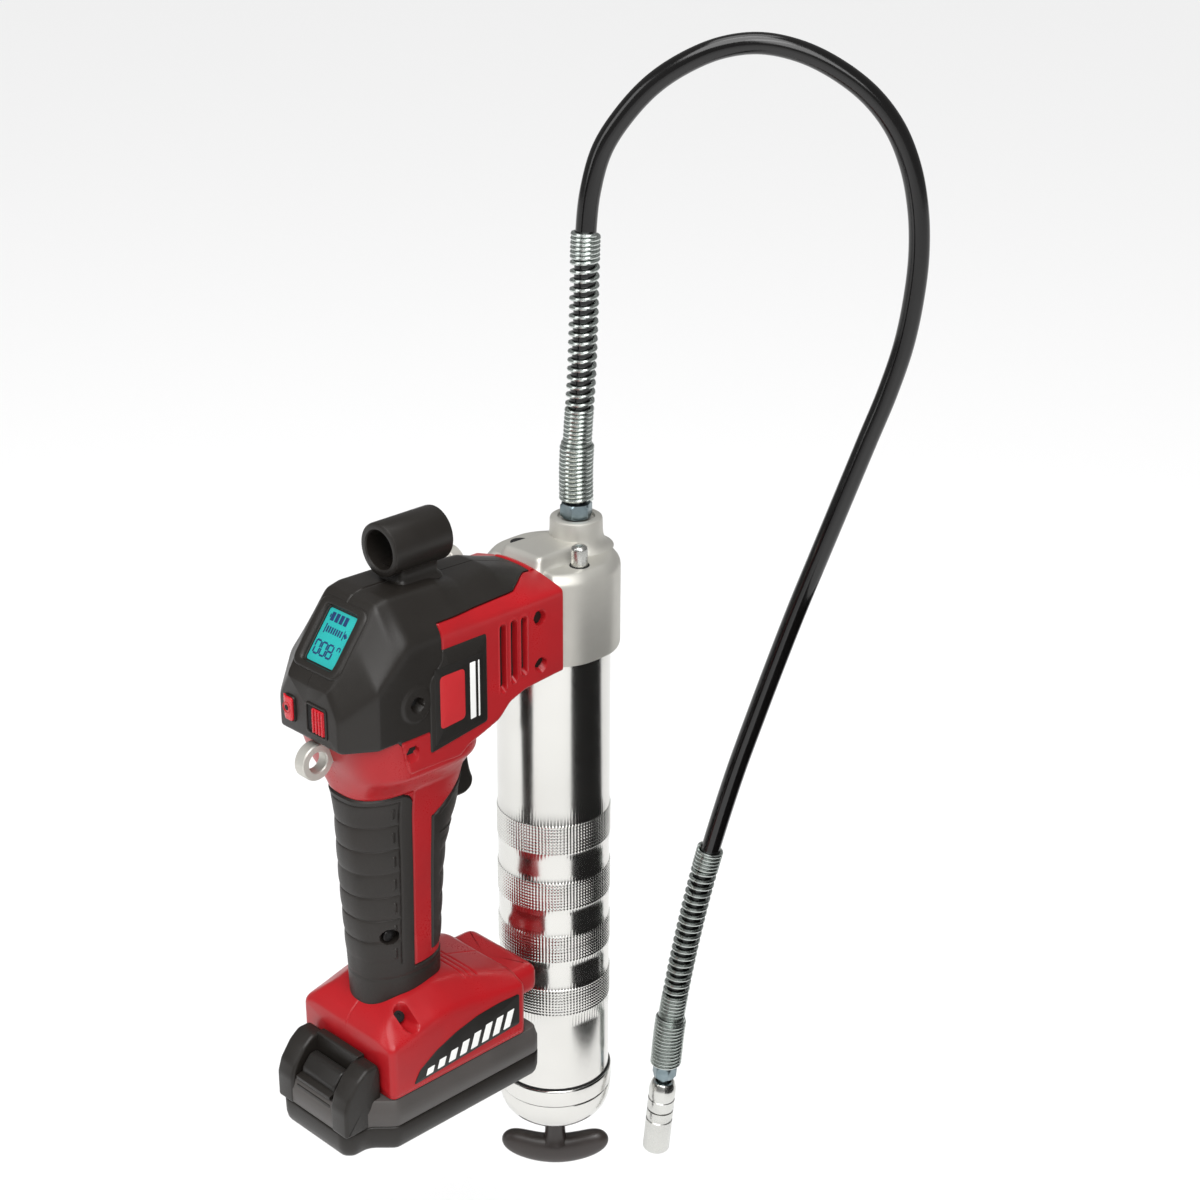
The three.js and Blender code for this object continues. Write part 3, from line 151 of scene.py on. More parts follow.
def swept(centres, out, side, radius, sides):
    """A round pipe: at each centre, a ring of the given radius in the plane of two unit directions."""
    angle = np.linspace(0, 2 * np.pi, sides, endpoint=False)
    spoke = out[:, None] * np.cos(angle)[None, :, None] + side[:, None] * np.sin(angle)[None, :, None]
    return stacked(centres[:, None] + radius * spoke)


def unit(vectors):
    """Each vector divided by its length."""
    return vectors / np.linalg.norm(vectors, axis=-1, keepdims=True)


def outwards(skin):
    """The skin with its faces turned outwards, by the sign of the volume that they close."""
    points, quads, tris = skin
    faces = np.concatenate([quads[:, [0, 1, 2]], quads[:, [0, 2, 3]], tris])
    a, b, c = (points[faces[:, i]] - points.mean(axis=0) for i in range(3))
    if np.einsum("ij,ij->i", a, np.cross(b, c)).sum() < 0:
        quads, tris = quads[:, ::-1], tris[:, ::-1]
    return points, quads, tris


def make(name, skins, body, stands_for=(), sharp_deg=38):
    """One object out of closed skins, each with its own material; it rides on a body of the frame."""
    points, quads, tris, shades, materials, start = [], [], [], [], [], 0
    for skin, material in skins:
        if material not in materials:
            materials.append(material)
        place, four, three = outwards(skin)
        points.append(place * MM)
        quads.append(four + start)
        tris.append(three + start)
        shades.append((materials.index(material), len(four), len(three)))
        start += len(place)
    points, quads, tris = (np.concatenate(group) for group in (points, quads, tris))
    mesh = bpy.data.meshes.new(name)
    mesh.vertices.add(len(points))
    mesh.vertices.foreach_set("co", points.astype(np.float32).ravel())
    corners = np.concatenate([quads.ravel(), tris.ravel()]).astype(np.int32)
    totals = np.concatenate([np.full(len(quads), 4), np.full(len(tris), 3)])
    mesh.loops.add(len(corners))
    mesh.loops.foreach_set("vertex_index", corners)
    mesh.polygons.add(len(totals))
    mesh.polygons.foreach_set("loop_start", np.concatenate([[0], np.cumsum(totals)[:-1]]).astype(np.int32))
    mesh.polygons.foreach_set("loop_total", totals.astype(np.int32))
    index = [np.full(row[1], row[0]) for row in shades] + [np.full(row[2], row[0]) for row in shades]
    mesh.polygons.foreach_set("material_index", np.concatenate(index).astype(np.int32))
    mesh.polygons.foreach_set("use_smooth", np.ones(len(totals), bool))
    mesh.update(calc_edges=True)
    mesh.validate()
    mesh.set_sharp_from_angle(angle=math.radians(sharp_deg))
    for material in materials:
        mesh.materials.append(finished(material))
    made = bpy.data.objects.new(name, mesh)
    bpy.context.scene.collection.objects.link(made)
    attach(made, body)
    if stands_for:
        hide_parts(*stands_for)
    return made


# ---- materials --------------------------------------------------------------------------------
def linear(hex_colour, alpha=1.0):
    """An sRGB hex colour such as #A81E22 as linear red, green, blue and alpha."""
    values = [int(hex_colour[i:i + 2], 16) / 255 for i in (1, 3, 5)]
    return [v / 12.92 if v <= 0.04045 else ((v + 0.055) / 1.055) ** 2.4 for v in values] + [alpha]


def node(tree, kind, settings=None, inputs=None):
    """Adds a shader node, sets its properties, and fills or links its inputs."""
    made = tree.nodes.new(kind)
    for key, value in (settings or {}).items():
        setattr(made, key, value)
    for key, value in (inputs or {}).items():
        if isinstance(value, bpy.types.NodeSocket):
            tree.links.new(value, made.inputs[key])
        else:
            made.inputs[key].default_value = value
    return made


def grain(tree, place, size_mm, detail=3.0, roughness=0.5):
    """Soft random spots of about one size, from 0 to 1."""
    settings = {"Scale": 1.0 / (size_mm * MM), "Detail": detail, "Roughness": roughness}
    return node(tree, "ShaderNodeTexNoise", None, {"Vector": place, **settings}).outputs["Fac"]


def spread(tree, value, low, high, to_low, to_high):
    """Maps a value from one range to another, held inside it."""
    inputs = {"Value": value, "From Min": low, "From Max": high, "To Min": to_low, "To Max": to_high}
    return node(tree, "ShaderNodeMapRange", None, inputs).outputs["Result"]


def blended(tree, share, first, second):
    """A colour between two hex colours."""
    mix = node(tree, "ShaderNodeMix", {"data_type": "RGBA"}, {"Factor": share})
    mix.inputs[6].default_value = linear(first)
    mix.inputs[7].default_value = linear(second)
    return mix.outputs[2]


def finish(name, tone, other, rough, metallic=0.0, grain_mm=0.5, depth_mm=0.01, cloud_mm=25.0, **sockets):
    """A surface finish: two close tones in broad clouds, roughness that wanders between two values,
    and a fine bump from grains of a real size. Constant values go straight to the shader's own sockets."""
    found = bpy.data.materials.get(name)
    if found:
        return found
    made = bpy.data.materials.new(name)
    made.use_nodes = True
    tree = made.node_tree
    shader = tree.nodes["Principled BSDF"]
    place = node(tree, "ShaderNodeTexCoord").outputs["Object"]
    cloud = grain(tree, place, cloud_mm, 4.0)
    base = blended(tree, spread(tree, cloud, 0.3, 0.7, 0.0, 1.0), tone, other)
    tree.links.new(base, shader.inputs["Base Color"])
    fine = grain(tree, place, grain_mm)
    wander = node(tree, "ShaderNodeMath", {"operation": "ADD"}, {0: cloud, 1: fine}).outputs["Value"]
    tree.links.new(spread(tree, wander, 0.7, 1.3, rough[0], rough[1]), shader.inputs["Roughness"])
    bump = node(tree, "ShaderNodeBump", None, {"Height": fine, "Strength": 1.0, "Distance": depth_mm * MM})
    tree.links.new(bump.outputs["Normal"], shader.inputs["Normal"])
    shader.inputs["Metallic"].default_value = metallic
    for key, value in sockets.items():
        shader.inputs[key.replace("_", " ")].default_value = value
    return made


def colour(key):
    """A colour from the panel, as the linear values that the picker holds, turned back to hex."""
    values = getattr(bpy.context.scene.gun_colours, key)
    parts = [v * 12.92 if v <= 0.0031308 else 1.055 * v ** (1 / 2.4) - 0.055 for v in values[:3]]
    return "#" + "".join(f"{round(min(max(v, 0), 1) * 255):02X}" for v in parts)


def shaded(hex_colour, gain):
    """The same hue, lighter or darker."""
    return "#" + "".join(f"{min(255, round(int(hex_colour[i:i + 2], 16) * gain)):02X}" for i in (1, 3, 5))


FINISHES = {
    # Each finish is named for its material and has two tones, the range of its roughness, and its grain. The
    # tones are hex colours, or a colour of the panel and how much lighter or darker the second tone is.
    # Moulded ABS: a satin skin that rolls the softbox into broad pinkish highlights.
    "red": ("red_moulded_abs", "shell", 0.93, (0.26, 0.38),
            dict(grain_mm=0.7, depth_mm=0.012, Specular_IOR_Level=0.3, Coat_Weight=0.04,
                 Coat_Roughness=0.25)),
    # Spark-textured glass nylon: a warm black with a soft sheen on the rounded edges.
    "dark": ("dark_textured_nylon", "cover", 1.12, (0.34, 0.46),
             dict(grain_mm=0.6, depth_mm=0.03, Specular_IOR_Level=0.35)),
    # The same nylon in a greyer batch, as on the battery's upper band: lighter and a little duller.
    "band": ("dark_nylon_band", "#454240", "#4B4745", (0.38, 0.5),
             dict(grain_mm=0.6, depth_mm=0.02, Specular_IOR_Level=0.35)),
    # Thermoplastic rubber overmould: matt charcoal that still catches a wide grey highlight.
    "rubber": ("charcoal_overmould", "rubber", 1.15, (0.4, 0.52),
               dict(grain_mm=0.8, depth_mm=0.04, Specular_IOR_Level=0.35)),
    # Printed polycarbonate film: smooth near-black with a clear even gloss.
    "label": ("label_film", "#1B1917", "#211F1D", (0.3, 0.4),
              dict(grain_mm=0.4, depth_mm=0.004, Specular_IOR_Level=0.35)),
    # Screen-printed inks on the label film: even, with a slight shine.
    "emblem": ("emblem_red_ink", "#BE1A22", "#B8181F", (0.34, 0.42), dict(grain_mm=0.4, depth_mm=0.004)),
    "white": ("white_ink", "#F1F1EF", "#E9E9E6", (0.35, 0.42), dict(grain_mm=0.4, depth_mm=0.004)),
    # Blasted aluminium casting: pale and satin, with a fine sandy grain under the light.
    "cast": ("blasted_cast_aluminium", "casting", 0.95, (0.42, 0.55),
             dict(metallic=0.75, grain_mm=0.5, depth_mm=0.03)),
    # Bright-plated steel tube: near mirror, so it shows the studio as upright bands.
    "bright": ("bright_plated_steel", "#D8D7D3", "#CFCECA", (0.14, 0.22),
               dict(metallic=1.0, grain_mm=0.8, depth_mm=0.002, cloud_mm=60.0)),
    # Lathe-turned steel: bright with a slightly brushed shine.
    "steel": ("turned_steel", "#CFCFCB", "#C2C2BE", (0.2, 0.32),
              dict(metallic=1.0, grain_mm=0.5, depth_mm=0.006)),
    # Zinc-plated steel: bluish grey with a cloudy shine.
    "zinc": ("zinc_plated_steel", "#87959A", "#76858A", (0.28, 0.4),
             dict(metallic=0.95, grain_mm=0.6, depth_mm=0.01, cloud_mm=4.0)),
    # Plated spring wire: cool grey steel with small bright glints.
    "spring": ("plated_spring_wire", "#C3C9C5", "#B2B9B5", (0.2, 0.32),
               dict(metallic=1.0, grain_mm=0.5, depth_mm=0.006, cloud_mm=8.0)),
    # Smooth black hose cover: deep black with a thin clean highlight along it.
    "hose": ("gloss_hose_rubber", "#080707", "#0C0B0B", (0.12, 0.2), dict(grain_mm=1.2, depth_mm=0.01)),
    # Moulded polypropylene: dark brown-black with a soft shine.
    "handle": ("dark_moulded_handle", "#2A2422", "#322B28", (0.32, 0.45), dict(grain_mm=0.7, depth_mm=0.02)),
    # The unlit inside of a hole or slot: black and dull.
    "hole": ("unlit_recess", "#050505", "#080808", (0.7, 0.85), dict(grain_mm=1.0, depth_mm=0.01)),
    # Black-oxide screw head: a dark metal with a dull shine.
    "screw": ("black_oxide_screw", "#1C1B1B", "#262424", (0.3, 0.42),
              dict(metallic=0.6, grain_mm=0.4, depth_mm=0.01)),
    # Backlit liquid crystal: an even blue-green glow behind a clear sheet.
    "lcd": ("backlit_lcd", "#1F9492", "#28A09C", (0.18, 0.22),
            dict(grain_mm=0.5, depth_mm=0.001, Emission_Color=linear("#2FB5B2"), Emission_Strength=0.12)),
    # The dark segments of the display: flat blue-black.
    "ink": ("lcd_segment", "#15305C", "#183561", (0.3, 0.35), dict(grain_mm=0.5, depth_mm=0.001)),
    # Moulded acetal in a brighter red than the shell, with a clean gloss.
    "control": ("bright_red_acetal", "#C4202B", "#B51C27", (0.22, 0.3), dict(grain_mm=0.7, depth_mm=0.006)),
    # Nitrile rubber of seals and the follower: matt black.
    "seal": ("nitrile_rubber", "#1A1A1A", "#202020", (0.5, 0.65), dict(grain_mm=0.8, depth_mm=0.02)),
    # Solder mask on a circuit board: a half-gloss green.
    "board": ("solder_mask", "#1E5A3C", "#236645", (0.35, 0.5), dict(grain_mm=0.6, depth_mm=0.01)),
    # Enamelled copper wire, wound close: warm and metallic, with a coarse grain.
    "copper": ("enamelled_copper", "#B4683A", "#A25A30", (0.3, 0.42),
               dict(metallic=0.9, grain_mm=0.6, depth_mm=0.05)),
    # Shrink sleeve on a battery cell: smooth greyish blue.
    "cell": ("cell_shrink_sleeve", "#4A6B8E", "#55779A", (0.35, 0.45), dict(grain_mm=0.8, depth_mm=0.01)),
}


def finished(key):
    """The material of one of the finishes above."""
    name, tone, other, rough, settings = FINISHES[key]
    if not tone.startswith("#"):
        tone = colour(tone)
        other = shaded(tone, other)
    return finish(name, tone, other, rough, **settings)


# ---- the hose and what is on it ---------------------------------------------------------------
HOSE_ROUTE = [  # distance from the outlet's axis and height, in metres
    (0, 0.1593), (0, 0.178), (0.001, 0.198), (0.0025, 0.222), (0.0035, 0.25), (0.004, 0.272),
    (0.0045, 0.292), (0.0065, 0.312), (0.012, 0.332), (0.022, 0.348), (0.035, 0.362), (0.05, 0.372),
    (0.066, 0.3785), (0.083, 0.3805), (0.101, 0.377), (0.118, 0.369), (0.134, 0.357), (0.146, 0.342),
    (0.154, 0.324), (0.1585, 0.304), (0.16, 0.284), (0.159, 0.264), (0.1555, 0.24), (0.149, 0.216),
    (0.14, 0.19), (0.13, 0.161), (0.12, 0.132), (0.11, 0.103), (0.1, 0.072), (0.091, 0.043),
    (0.082, 0.013), (0.074, -0.017), (0.0665, -0.048), (0.06, -0.08), (0.0545, -0.112),
    (0.0505, -0.141), (0.0483, -0.167),
]
OUTLET = np.array([124.0, 0.0, 159.3])
HOSE_TURN = math.radians(-44.5)        # the hose and the pull both lie in an upright plane turned by this
HOSE_OUT = np.array([math.cos(HOSE_TURN), math.sin(HOSE_TURN), 0.0])
HOSE_SIDE = np.array([-math.sin(HOSE_TURN), math.cos(HOSE_TURN), 0.0])
UP = np.array([0.0, 0.0, 1.0])
GUARD_WIRE = 2.1                       # thickness of the guard springs' wire
GUARD_FOOT, GUARD_SLIM = 8.5, 7.2      # outside radius of a guard at its fitting and beyond
CLOSE_PITCH, OPEN_PITCH = 2.12, 4.35   # a guard's turns nearly touch, but for its middle run


def hose_line(count=700):
    """A centripetal Catmull-Rom curve through the route, sampled evenly by length, in millimetres."""
    route = np.array(HOSE_ROUTE) / MM
    points = np.array([OUTLET[0], 0, 0]) + route[:, :1] * HOSE_OUT + route[:, 1:] * UP
    ends = [2 * points[0] - points[1], 2 * points[-1] - points[-2]]
    control = np.concatenate([ends[:1], points, ends[1:]])
    knots = np.concatenate([[0], np.cumsum(np.linalg.norm(np.diff(control, axis=0), axis=1) ** 0.5)])
    t = np.linspace(knots[1], knots[-2], 6000)
    i = np.clip(np.searchsorted(knots, t, side="right") - 1, 1, len(control) - 3)

    def between(a, b, ka, kb):
        """A point that travels from a to b while the parameter goes from ka to kb."""
        share = ((t - ka) / (kb - ka))[:, None]
        return a * (1 - share) + b * share

    k = [knots[i + j] for j in (-1, 0, 1, 2)]
    p = [control[i + j] for j in (-1, 0, 1, 2)]
    a1, a2, a3 = (between(p[j], p[j + 1], k[j], k[j + 1]) for j in range(3))
    b1, b2 = between(a1, a2, k[0], k[2]), between(a2, a3, k[1], k[3])
    line = between(b1, b2, k[1], k[2])
    length = np.concatenate([[0], np.cumsum(np.linalg.norm(np.diff(line, axis=0), axis=1))])
    even = np.linspace(0, length[-1], count)
    return np.stack([np.interp(even, length, line[:, j]) for j in range(3)], axis=-1), even


def along(line, even, s):
    """Place, heading and in-plane outward direction of the hose at each length s from the outlet."""
    heading = unit(np.gradient(line, axis=0))
    place = np.stack([np.interp(s, even, line[:, j]) for j in range(3)], axis=-1)
    ahead = unit(np.stack([np.interp(s, even, heading[:, j]) for j in range(3)], axis=-1))
    return place, ahead, np.cross(HOSE_SIDE[None], ahead)


def coil(line, even, lengths, pitches, radii, wire):
    """A wire wound round the hose: the angle grows by a turn for each pitch travelled along the hose, and
    the wire's middle stands at the coil radius, less half its thickness, from the hose's own line."""
    fine = np.linspace(lengths[0], lengths[-1], 4000)
    pitch = np.interp(fine, lengths, pitches)
    turns = np.concatenate([[0], np.cumsum(np.diff(fine) / ((pitch[:-1] + pitch[1:]) / 2))])
    count = int(turns[-1] * 22)
    s = np.interp(np.linspace(0, turns[-1], count), turns, fine)
    angle = 2 * np.pi * np.linspace(0, turns[-1], count)
    reach = (np.interp(s, lengths, radii) - wire / 2)[:, None]
    place, _, out = along(line, even, s)
    spoke = out * np.cos(angle)[:, None] + HOSE_SIDE[None] * np.sin(angle)[:, None]
    centres = place + reach * spoke
    run = unit(np.gradient(centres, axis=0))
    return swept(centres, spoke, np.cross(run, spoke), wire / 2, sides=8)


def hex_nut(across_flats, height, chamfer=0.9):
    """A hexagon whose end corners are eased by a cone: the radius is the lesser of flat and cone."""
    angle = np.linspace(0, 2 * np.pi, 96, endpoint=False)
    flat = across_flats / 2 / np.cos((angle + np.pi / 6) % (np.pi / 3) - np.pi / 6)
    round_limit = across_flats / 2 * 1.015
    rows = []
    for z, limit in [(0, round_limit), (chamfer, 1e3), (height - chamfer, 1e3), (height, round_limit)]:
        radius = np.minimum(flat, limit)
        rows.append(np.stack([radius * np.cos(angle), radius * np.sin(angle), np.full(96, z)], axis=-1))
    return stacked(np.array(rows))


def build_hose(sizes):
    """A round pipe along the hose's line, a wound wire over each end, and a coupler whose parts are profiles
    turned about the hose's last heading. A guard's rows give its lengths from the outlet, with its pitch and
    its outside radius at each."""
    line, even = hose_line()
    total = float(even[-1])
    place, ahead, out = along(line, even, np.linspace(0, total, 420))
    side = np.broadcast_to(HOSE_SIDE, place.shape)
    hose = make("hose_cover", [(swept(place, out, side, sizes.hose_radius / MM, 24), "hose")], "tool",
                ["hose"])
    upper = ([1.2, 29, 31, 47, 49, 120, 122, 134],
             [CLOSE_PITCH] * 4 + [OPEN_PITCH] * 2 + [CLOSE_PITCH] * 2, [GUARD_FOOT] * 2 + [GUARD_SLIM] * 6)
    lower = ([total - value for value in (135, 124, 122, 46, 44, 31, 29, 1.2)],
             [CLOSE_PITCH] * 2 + [OPEN_PITCH] * 2 + [CLOSE_PITCH] * 4, [GUARD_SLIM] * 6 + [GUARD_FOOT] * 2)
    for which, rows in (("upper", upper), ("lower", lower)):
        wire = coil(line, even, *rows, GUARD_WIRE)
        make(which + "_hose_spring", [(wire, "spring")], "tool",
                           ["hose_guard_" + which])
    end, heading = place[-1], ahead[-1]
    flats = moved(hex_nut(11.4, 7.0), end + heading * 0.3, heading)
    neck = moved(turned([(3.2, 7.0), (3.2, 12.5)], 32), end, heading)
    nut = make("coupler_hex", [(flats, "zinc"), (neck, "zinc")], "tool", ["coupler_nut"])
    body_profile = [
        (4.4, 10.8), (5.6, 10.8), (6.3, 11.6), (7.1, 14.4), (7.3, 15.2), (7.3, 20.0), (6.9, 20.3),
        (6.9, 21.7), (7.3, 22.0), (7.3, 27.9), (7.0, 28.5), (4.8, 28.5), (4.8, 23.0), (4.4, 22.0),
    ]
    body = moved(turned(body_profile, 72, closed=True), end, heading)
    sleeve_profile = [
        (6.4, 28.9), (7.2, 29.2), (7.3, 29.9), (7.3, 33.4), (6.85, 33.8), (6.85, 35.0), (7.3, 35.4),
        (7.3, 53.4), (7.0, 54.2), (6.2, 55.0), (5.6, 55.0), (5.3, 53.6), (5.2, 36.0), (5.2, 28.9),
    ]
    sleeve = moved(turned(sleeve_profile, 72, closed=True), end, heading)
    coupler = [
        nut,
        make("coupler_barrel", [(body, "steel")], "tool", ["coupler_body"]),
        make("coupler_grip_sleeve", [(sleeve, "steel")], "tool", ["coupler_sleeve"]),
    ]


# ---- outlines ---------------------------------------------------------------------------------
def rounded(corners, radius, step=0.8):
    """A closed outline through the corners, each replaced by an arc that touches both of its sides. The arc
    is a quadratic curve from one touching point to the other, pulled by the corner; straight runs between
    the arcs are cut into even steps."""
    corners = np.array(corners, float)
    before, after = np.roll(corners, 1, axis=0), np.roll(corners, -1, axis=0)
    back, ahead = before - corners, after - corners
    room = np.minimum(np.linalg.norm(back, axis=1), np.linalg.norm(ahead, axis=1)) * 0.45
    reach = np.minimum(np.broadcast_to(np.asarray(radius, float), room.shape), room)[:, None]
    start, end = corners + unit(back) * reach, corners + unit(ahead) * reach
    t = np.linspace(0, 1, 7)[:, None]
    runs = []
    for i in range(len(corners)):
        runs.append((1 - t) ** 2 * start[i] + 2 * t * (1 - t) * corners[i] + t ** 2 * end[i])
        target = start[(i + 1) % len(corners)]
        count = max(int(np.linalg.norm(target - end[i]) / step), 1)
        runs.append(end[i] + (target - end[i]) * np.linspace(0, 1, count + 1)[1:-1, None])
    return np.concatenate(runs)


def inwards(outline):
    """Unit normals of a closed outline that point into it."""
    along_it = unit(np.roll(outline, -1, axis=0) - np.roll(outline, 1, axis=0))
    normal = np.stack([-along_it[:, 1], along_it[:, 0]], axis=-1)
    x, y = outline.T
    area = np.sum(x * np.roll(y, -1) - y * np.roll(x, -1))
    return normal * np.sign(area)


def layered(outline, heights, insets, axis="z", toward=None):
    """Rings of a flat outline at each height, each drawn in by its inset, square to the outline or toward
    a point, with the height along an axis."""
    normal = inwards(outline) if toward is None else unit(np.array(toward) - outline)
    flat = outline[None] + np.asarray(insets, float)[:, None, None] * normal[None]
    level = np.broadcast_to(np.asarray(heights, float)[:, None, None], flat.shape[:2] + (1,))
    order = {"z": (0, 1, 2), "y": (0, 2, 1), "x": (2, 0, 1)}[axis]
    return np.concatenate([flat, level], axis=-1)[..., order]


def slab(outline, low, high, edge=0.8, axis="z"):
    """A flat plate with its outline's edges eased by a quarter circle at both faces."""
    return stacked(layered(outline, *eased_ends(low, high, edge), axis))


def framed(outer, inner, levels, axis="z"):
    """A flat frame: its cross-section runs from the outer outline to the inner one. Each level gives the
    share of the way from outer to inner and the height; the rings close on themselves underneath."""
    share = np.array([row[0] for row in levels])[:, None, None]
    flat = outer[None] * (1 - share) + inner[None] * share
    level = np.broadcast_to(np.array([row[1] for row in levels], float)[:, None, None], flat.shape[:2] + (1,))
    order = {"z": (0, 1, 2), "y": (0, 2, 1), "x": (2, 0, 1)}[axis]
    return looped(np.concatenate([flat, level], axis=-1)[..., order])


def eased(x, places, values, width=1.2):
    """Values along a broken line, averaged over a short width so that its corners are rounded."""
    offsets = np.linspace(-width, width, 9)
    return np.mean([np.interp(x + o, places, values) for o in offsets], axis=0)


def smooth_step(value, low, high):
    """0 below low, 1 above high, and 3t^2 - 2t^3 of the way t between them."""
    t = np.clip((value - low) / (high - low), 0, 1)
    return t * t * (3 - 2 * t)


def spaced(*spans):
    """Places along a line: each span gives its start, end and number of steps; shared ends appear once."""
    return np.unique(np.round(np.concatenate([np.linspace(a, b, n + 1) for a, b, n in spans]), 6))


def mirrored_angles(knots, counts):
    """Angles of a section that is its own mirror image. Each row runs from its first knot to its last, with
    a number of even steps from knot to knot, and back on the other side. Also gives how many steps each
    column stands from the first knot, the same on both sides, and the steps at which the knots stand."""
    parts = [start[:, None] + (end - start)[:, None] * np.linspace(0, 1, count + 1)[:-1]
             for count, start, end in zip(counts, knots[:-1], knots[1:])]
    last = knots[-1][:, None]
    half = np.concatenate(parts + [last], axis=1)
    theta = np.concatenate([half, 2 * last - half[:, -2:0:-1]], axis=1)
    column, span = np.arange(theta.shape[1]), sum(counts)
    return theta, np.where(column <= span, column, 2 * span - column), np.cumsum(counts)


def rings_along_x(x, theta, radius, height):
    """Rings of points at each angle and radius about a line along X at a height."""
    x = np.broadcast_to(x, radius.shape)
    return np.stack([x, radius * np.cos(theta), height + radius * np.sin(theta)], axis=-1)


# ---- pump head --------------------------------------------------------------------------------
BARREL_X = 108.0
BARREL_R = 28.6
HEAD_R = 33.3
HEAD_HALF = 32.6
HEAD_BACK = 85.3
HEAD_MIDDLE = 103.0            # the angles of the head's outline are taken about this place
PORT_X, PORT_Y = 106.0, 21.0


def head_outline(count=360):
    """A round front about the barrel's axis with straight sides and a straight back. From the middle, the
    front circle is 5 cos a + sqrt(R^2 - 25 sin^2 a) away; circle and walls are blended by a power mean."""
    middle = HEAD_MIDDLE
    lead = BARREL_X - middle
    angle = np.linspace(0, 2 * np.pi, count, endpoint=False)
    corner = np.arctan2(HEAD_HALF, HEAD_BACK - middle)
    angle = angle + 0.035 * np.sin(2 * (angle - corner))
    front = lead * np.cos(angle) + np.sqrt(HEAD_R ** 2 - (lead * np.sin(angle)) ** 2)
    walls = [(np.pi / 2, HEAD_HALF), (-np.pi / 2, HEAD_HALF), (np.pi, middle - HEAD_BACK)]
    straight = wall_radius(angle, walls, 60)[0]
    radius = (front ** -60.0 + straight ** -60.0) ** (-1 / 60.0)
    return np.stack([middle + radius * np.cos(angle), radius * np.sin(angle)], axis=-1)


def build_head():
    """The casting is the outline's rings, an island of smaller rings and a turned boss; the relief pin and
    the shadow round each port are turned too."""
    outline = head_outline()
    heights = [90.0, 90.3, 91.0, 92.0, 131.0, 132.2, 133.4, 134.8, 135.9, 136.6, 137.0, 137.0]
    insets = [1.0, 0.3, 0.05, 0.0, 0.0, 0.15, 0.6, 1.7, 2.8, 3.8, 5.0, 6.5]
    shell = stacked(layered(outline, heights, insets, toward=(HEAD_MIDDLE, 0)))
    island = rounded([(86, -13.5), (86, 13.5), (112, 13.5), (126, 9), (126, -9), (112, -13.5)], 3)
    island = stacked(layered(island, [135.5, 137.0, 137.5, 138.4, 140.8, 142.0, 142.8, 143.1, 143.1],
                             [-3.2, -2.4, -1.5, -0.8, 0.3, 0.9, 1.9, 3.2, 4.5], toward=(106, 0)))
    boss = [(18.5, 136.6), (16.2, 137.6), (14.4, 139.6), (13.4, 142.4), (13.1, 145.0), (13.0, 150.6),
            (12.7, 151.5), (11.9, 152.0), (9.3, 152.0), (9.0, 151.5), (8.9, 150.6)]
    boss = moved(turned(boss, 96), (OUTLET[0], 0, 0))
    make("pump_head_casting", [(skin, "cast") for skin in (shell, island, boss)], "tool",
         ["head"])
    shadow = turned([(0.01, 137.05), (4.95, 137.05), (5.0, 136.8), (0.01, 136.8)], 48)
    make("port_shadows", [(moved(shadow, (PORT_X, y, 0)), "hole") for y in (-PORT_Y, PORT_Y)], "tool")
    pin = [(3.9, 134.0), (4.0, 135.0), (4.0, 145.4), (3.7, 146.4), (3.0, 147.0), (1.2, 147.3)]
    make("relief_button", [(moved(turned(pin, 48), (PORT_X, -PORT_Y, 0)), "steel")], "relief",
         ["relief_pin"])
    nut = moved(hex_nut(14.0, 7.2), (OUTLET[0], 0, 151.8))
    make("outlet_hex", [(nut, "zinc")], "tool", ["outlet_nut"])


# ---- barrel -----------------------------------------------------------------------------------
KNURL_BANDS = [(-16.0, 0.8), (-48.3, -31.8), (-79.0, -62.9), (-111.4, -95.0)]
KNURL_CELLS = 106
KNURL_WAVE = np.array([0.0, 0.75, 1.0, 0.75])   # height across one pip, in four columns
BARREL_FOOT, BARREL_TOP = -170.6, 101.0
BARREL_BORE = 27.4              # inside radius


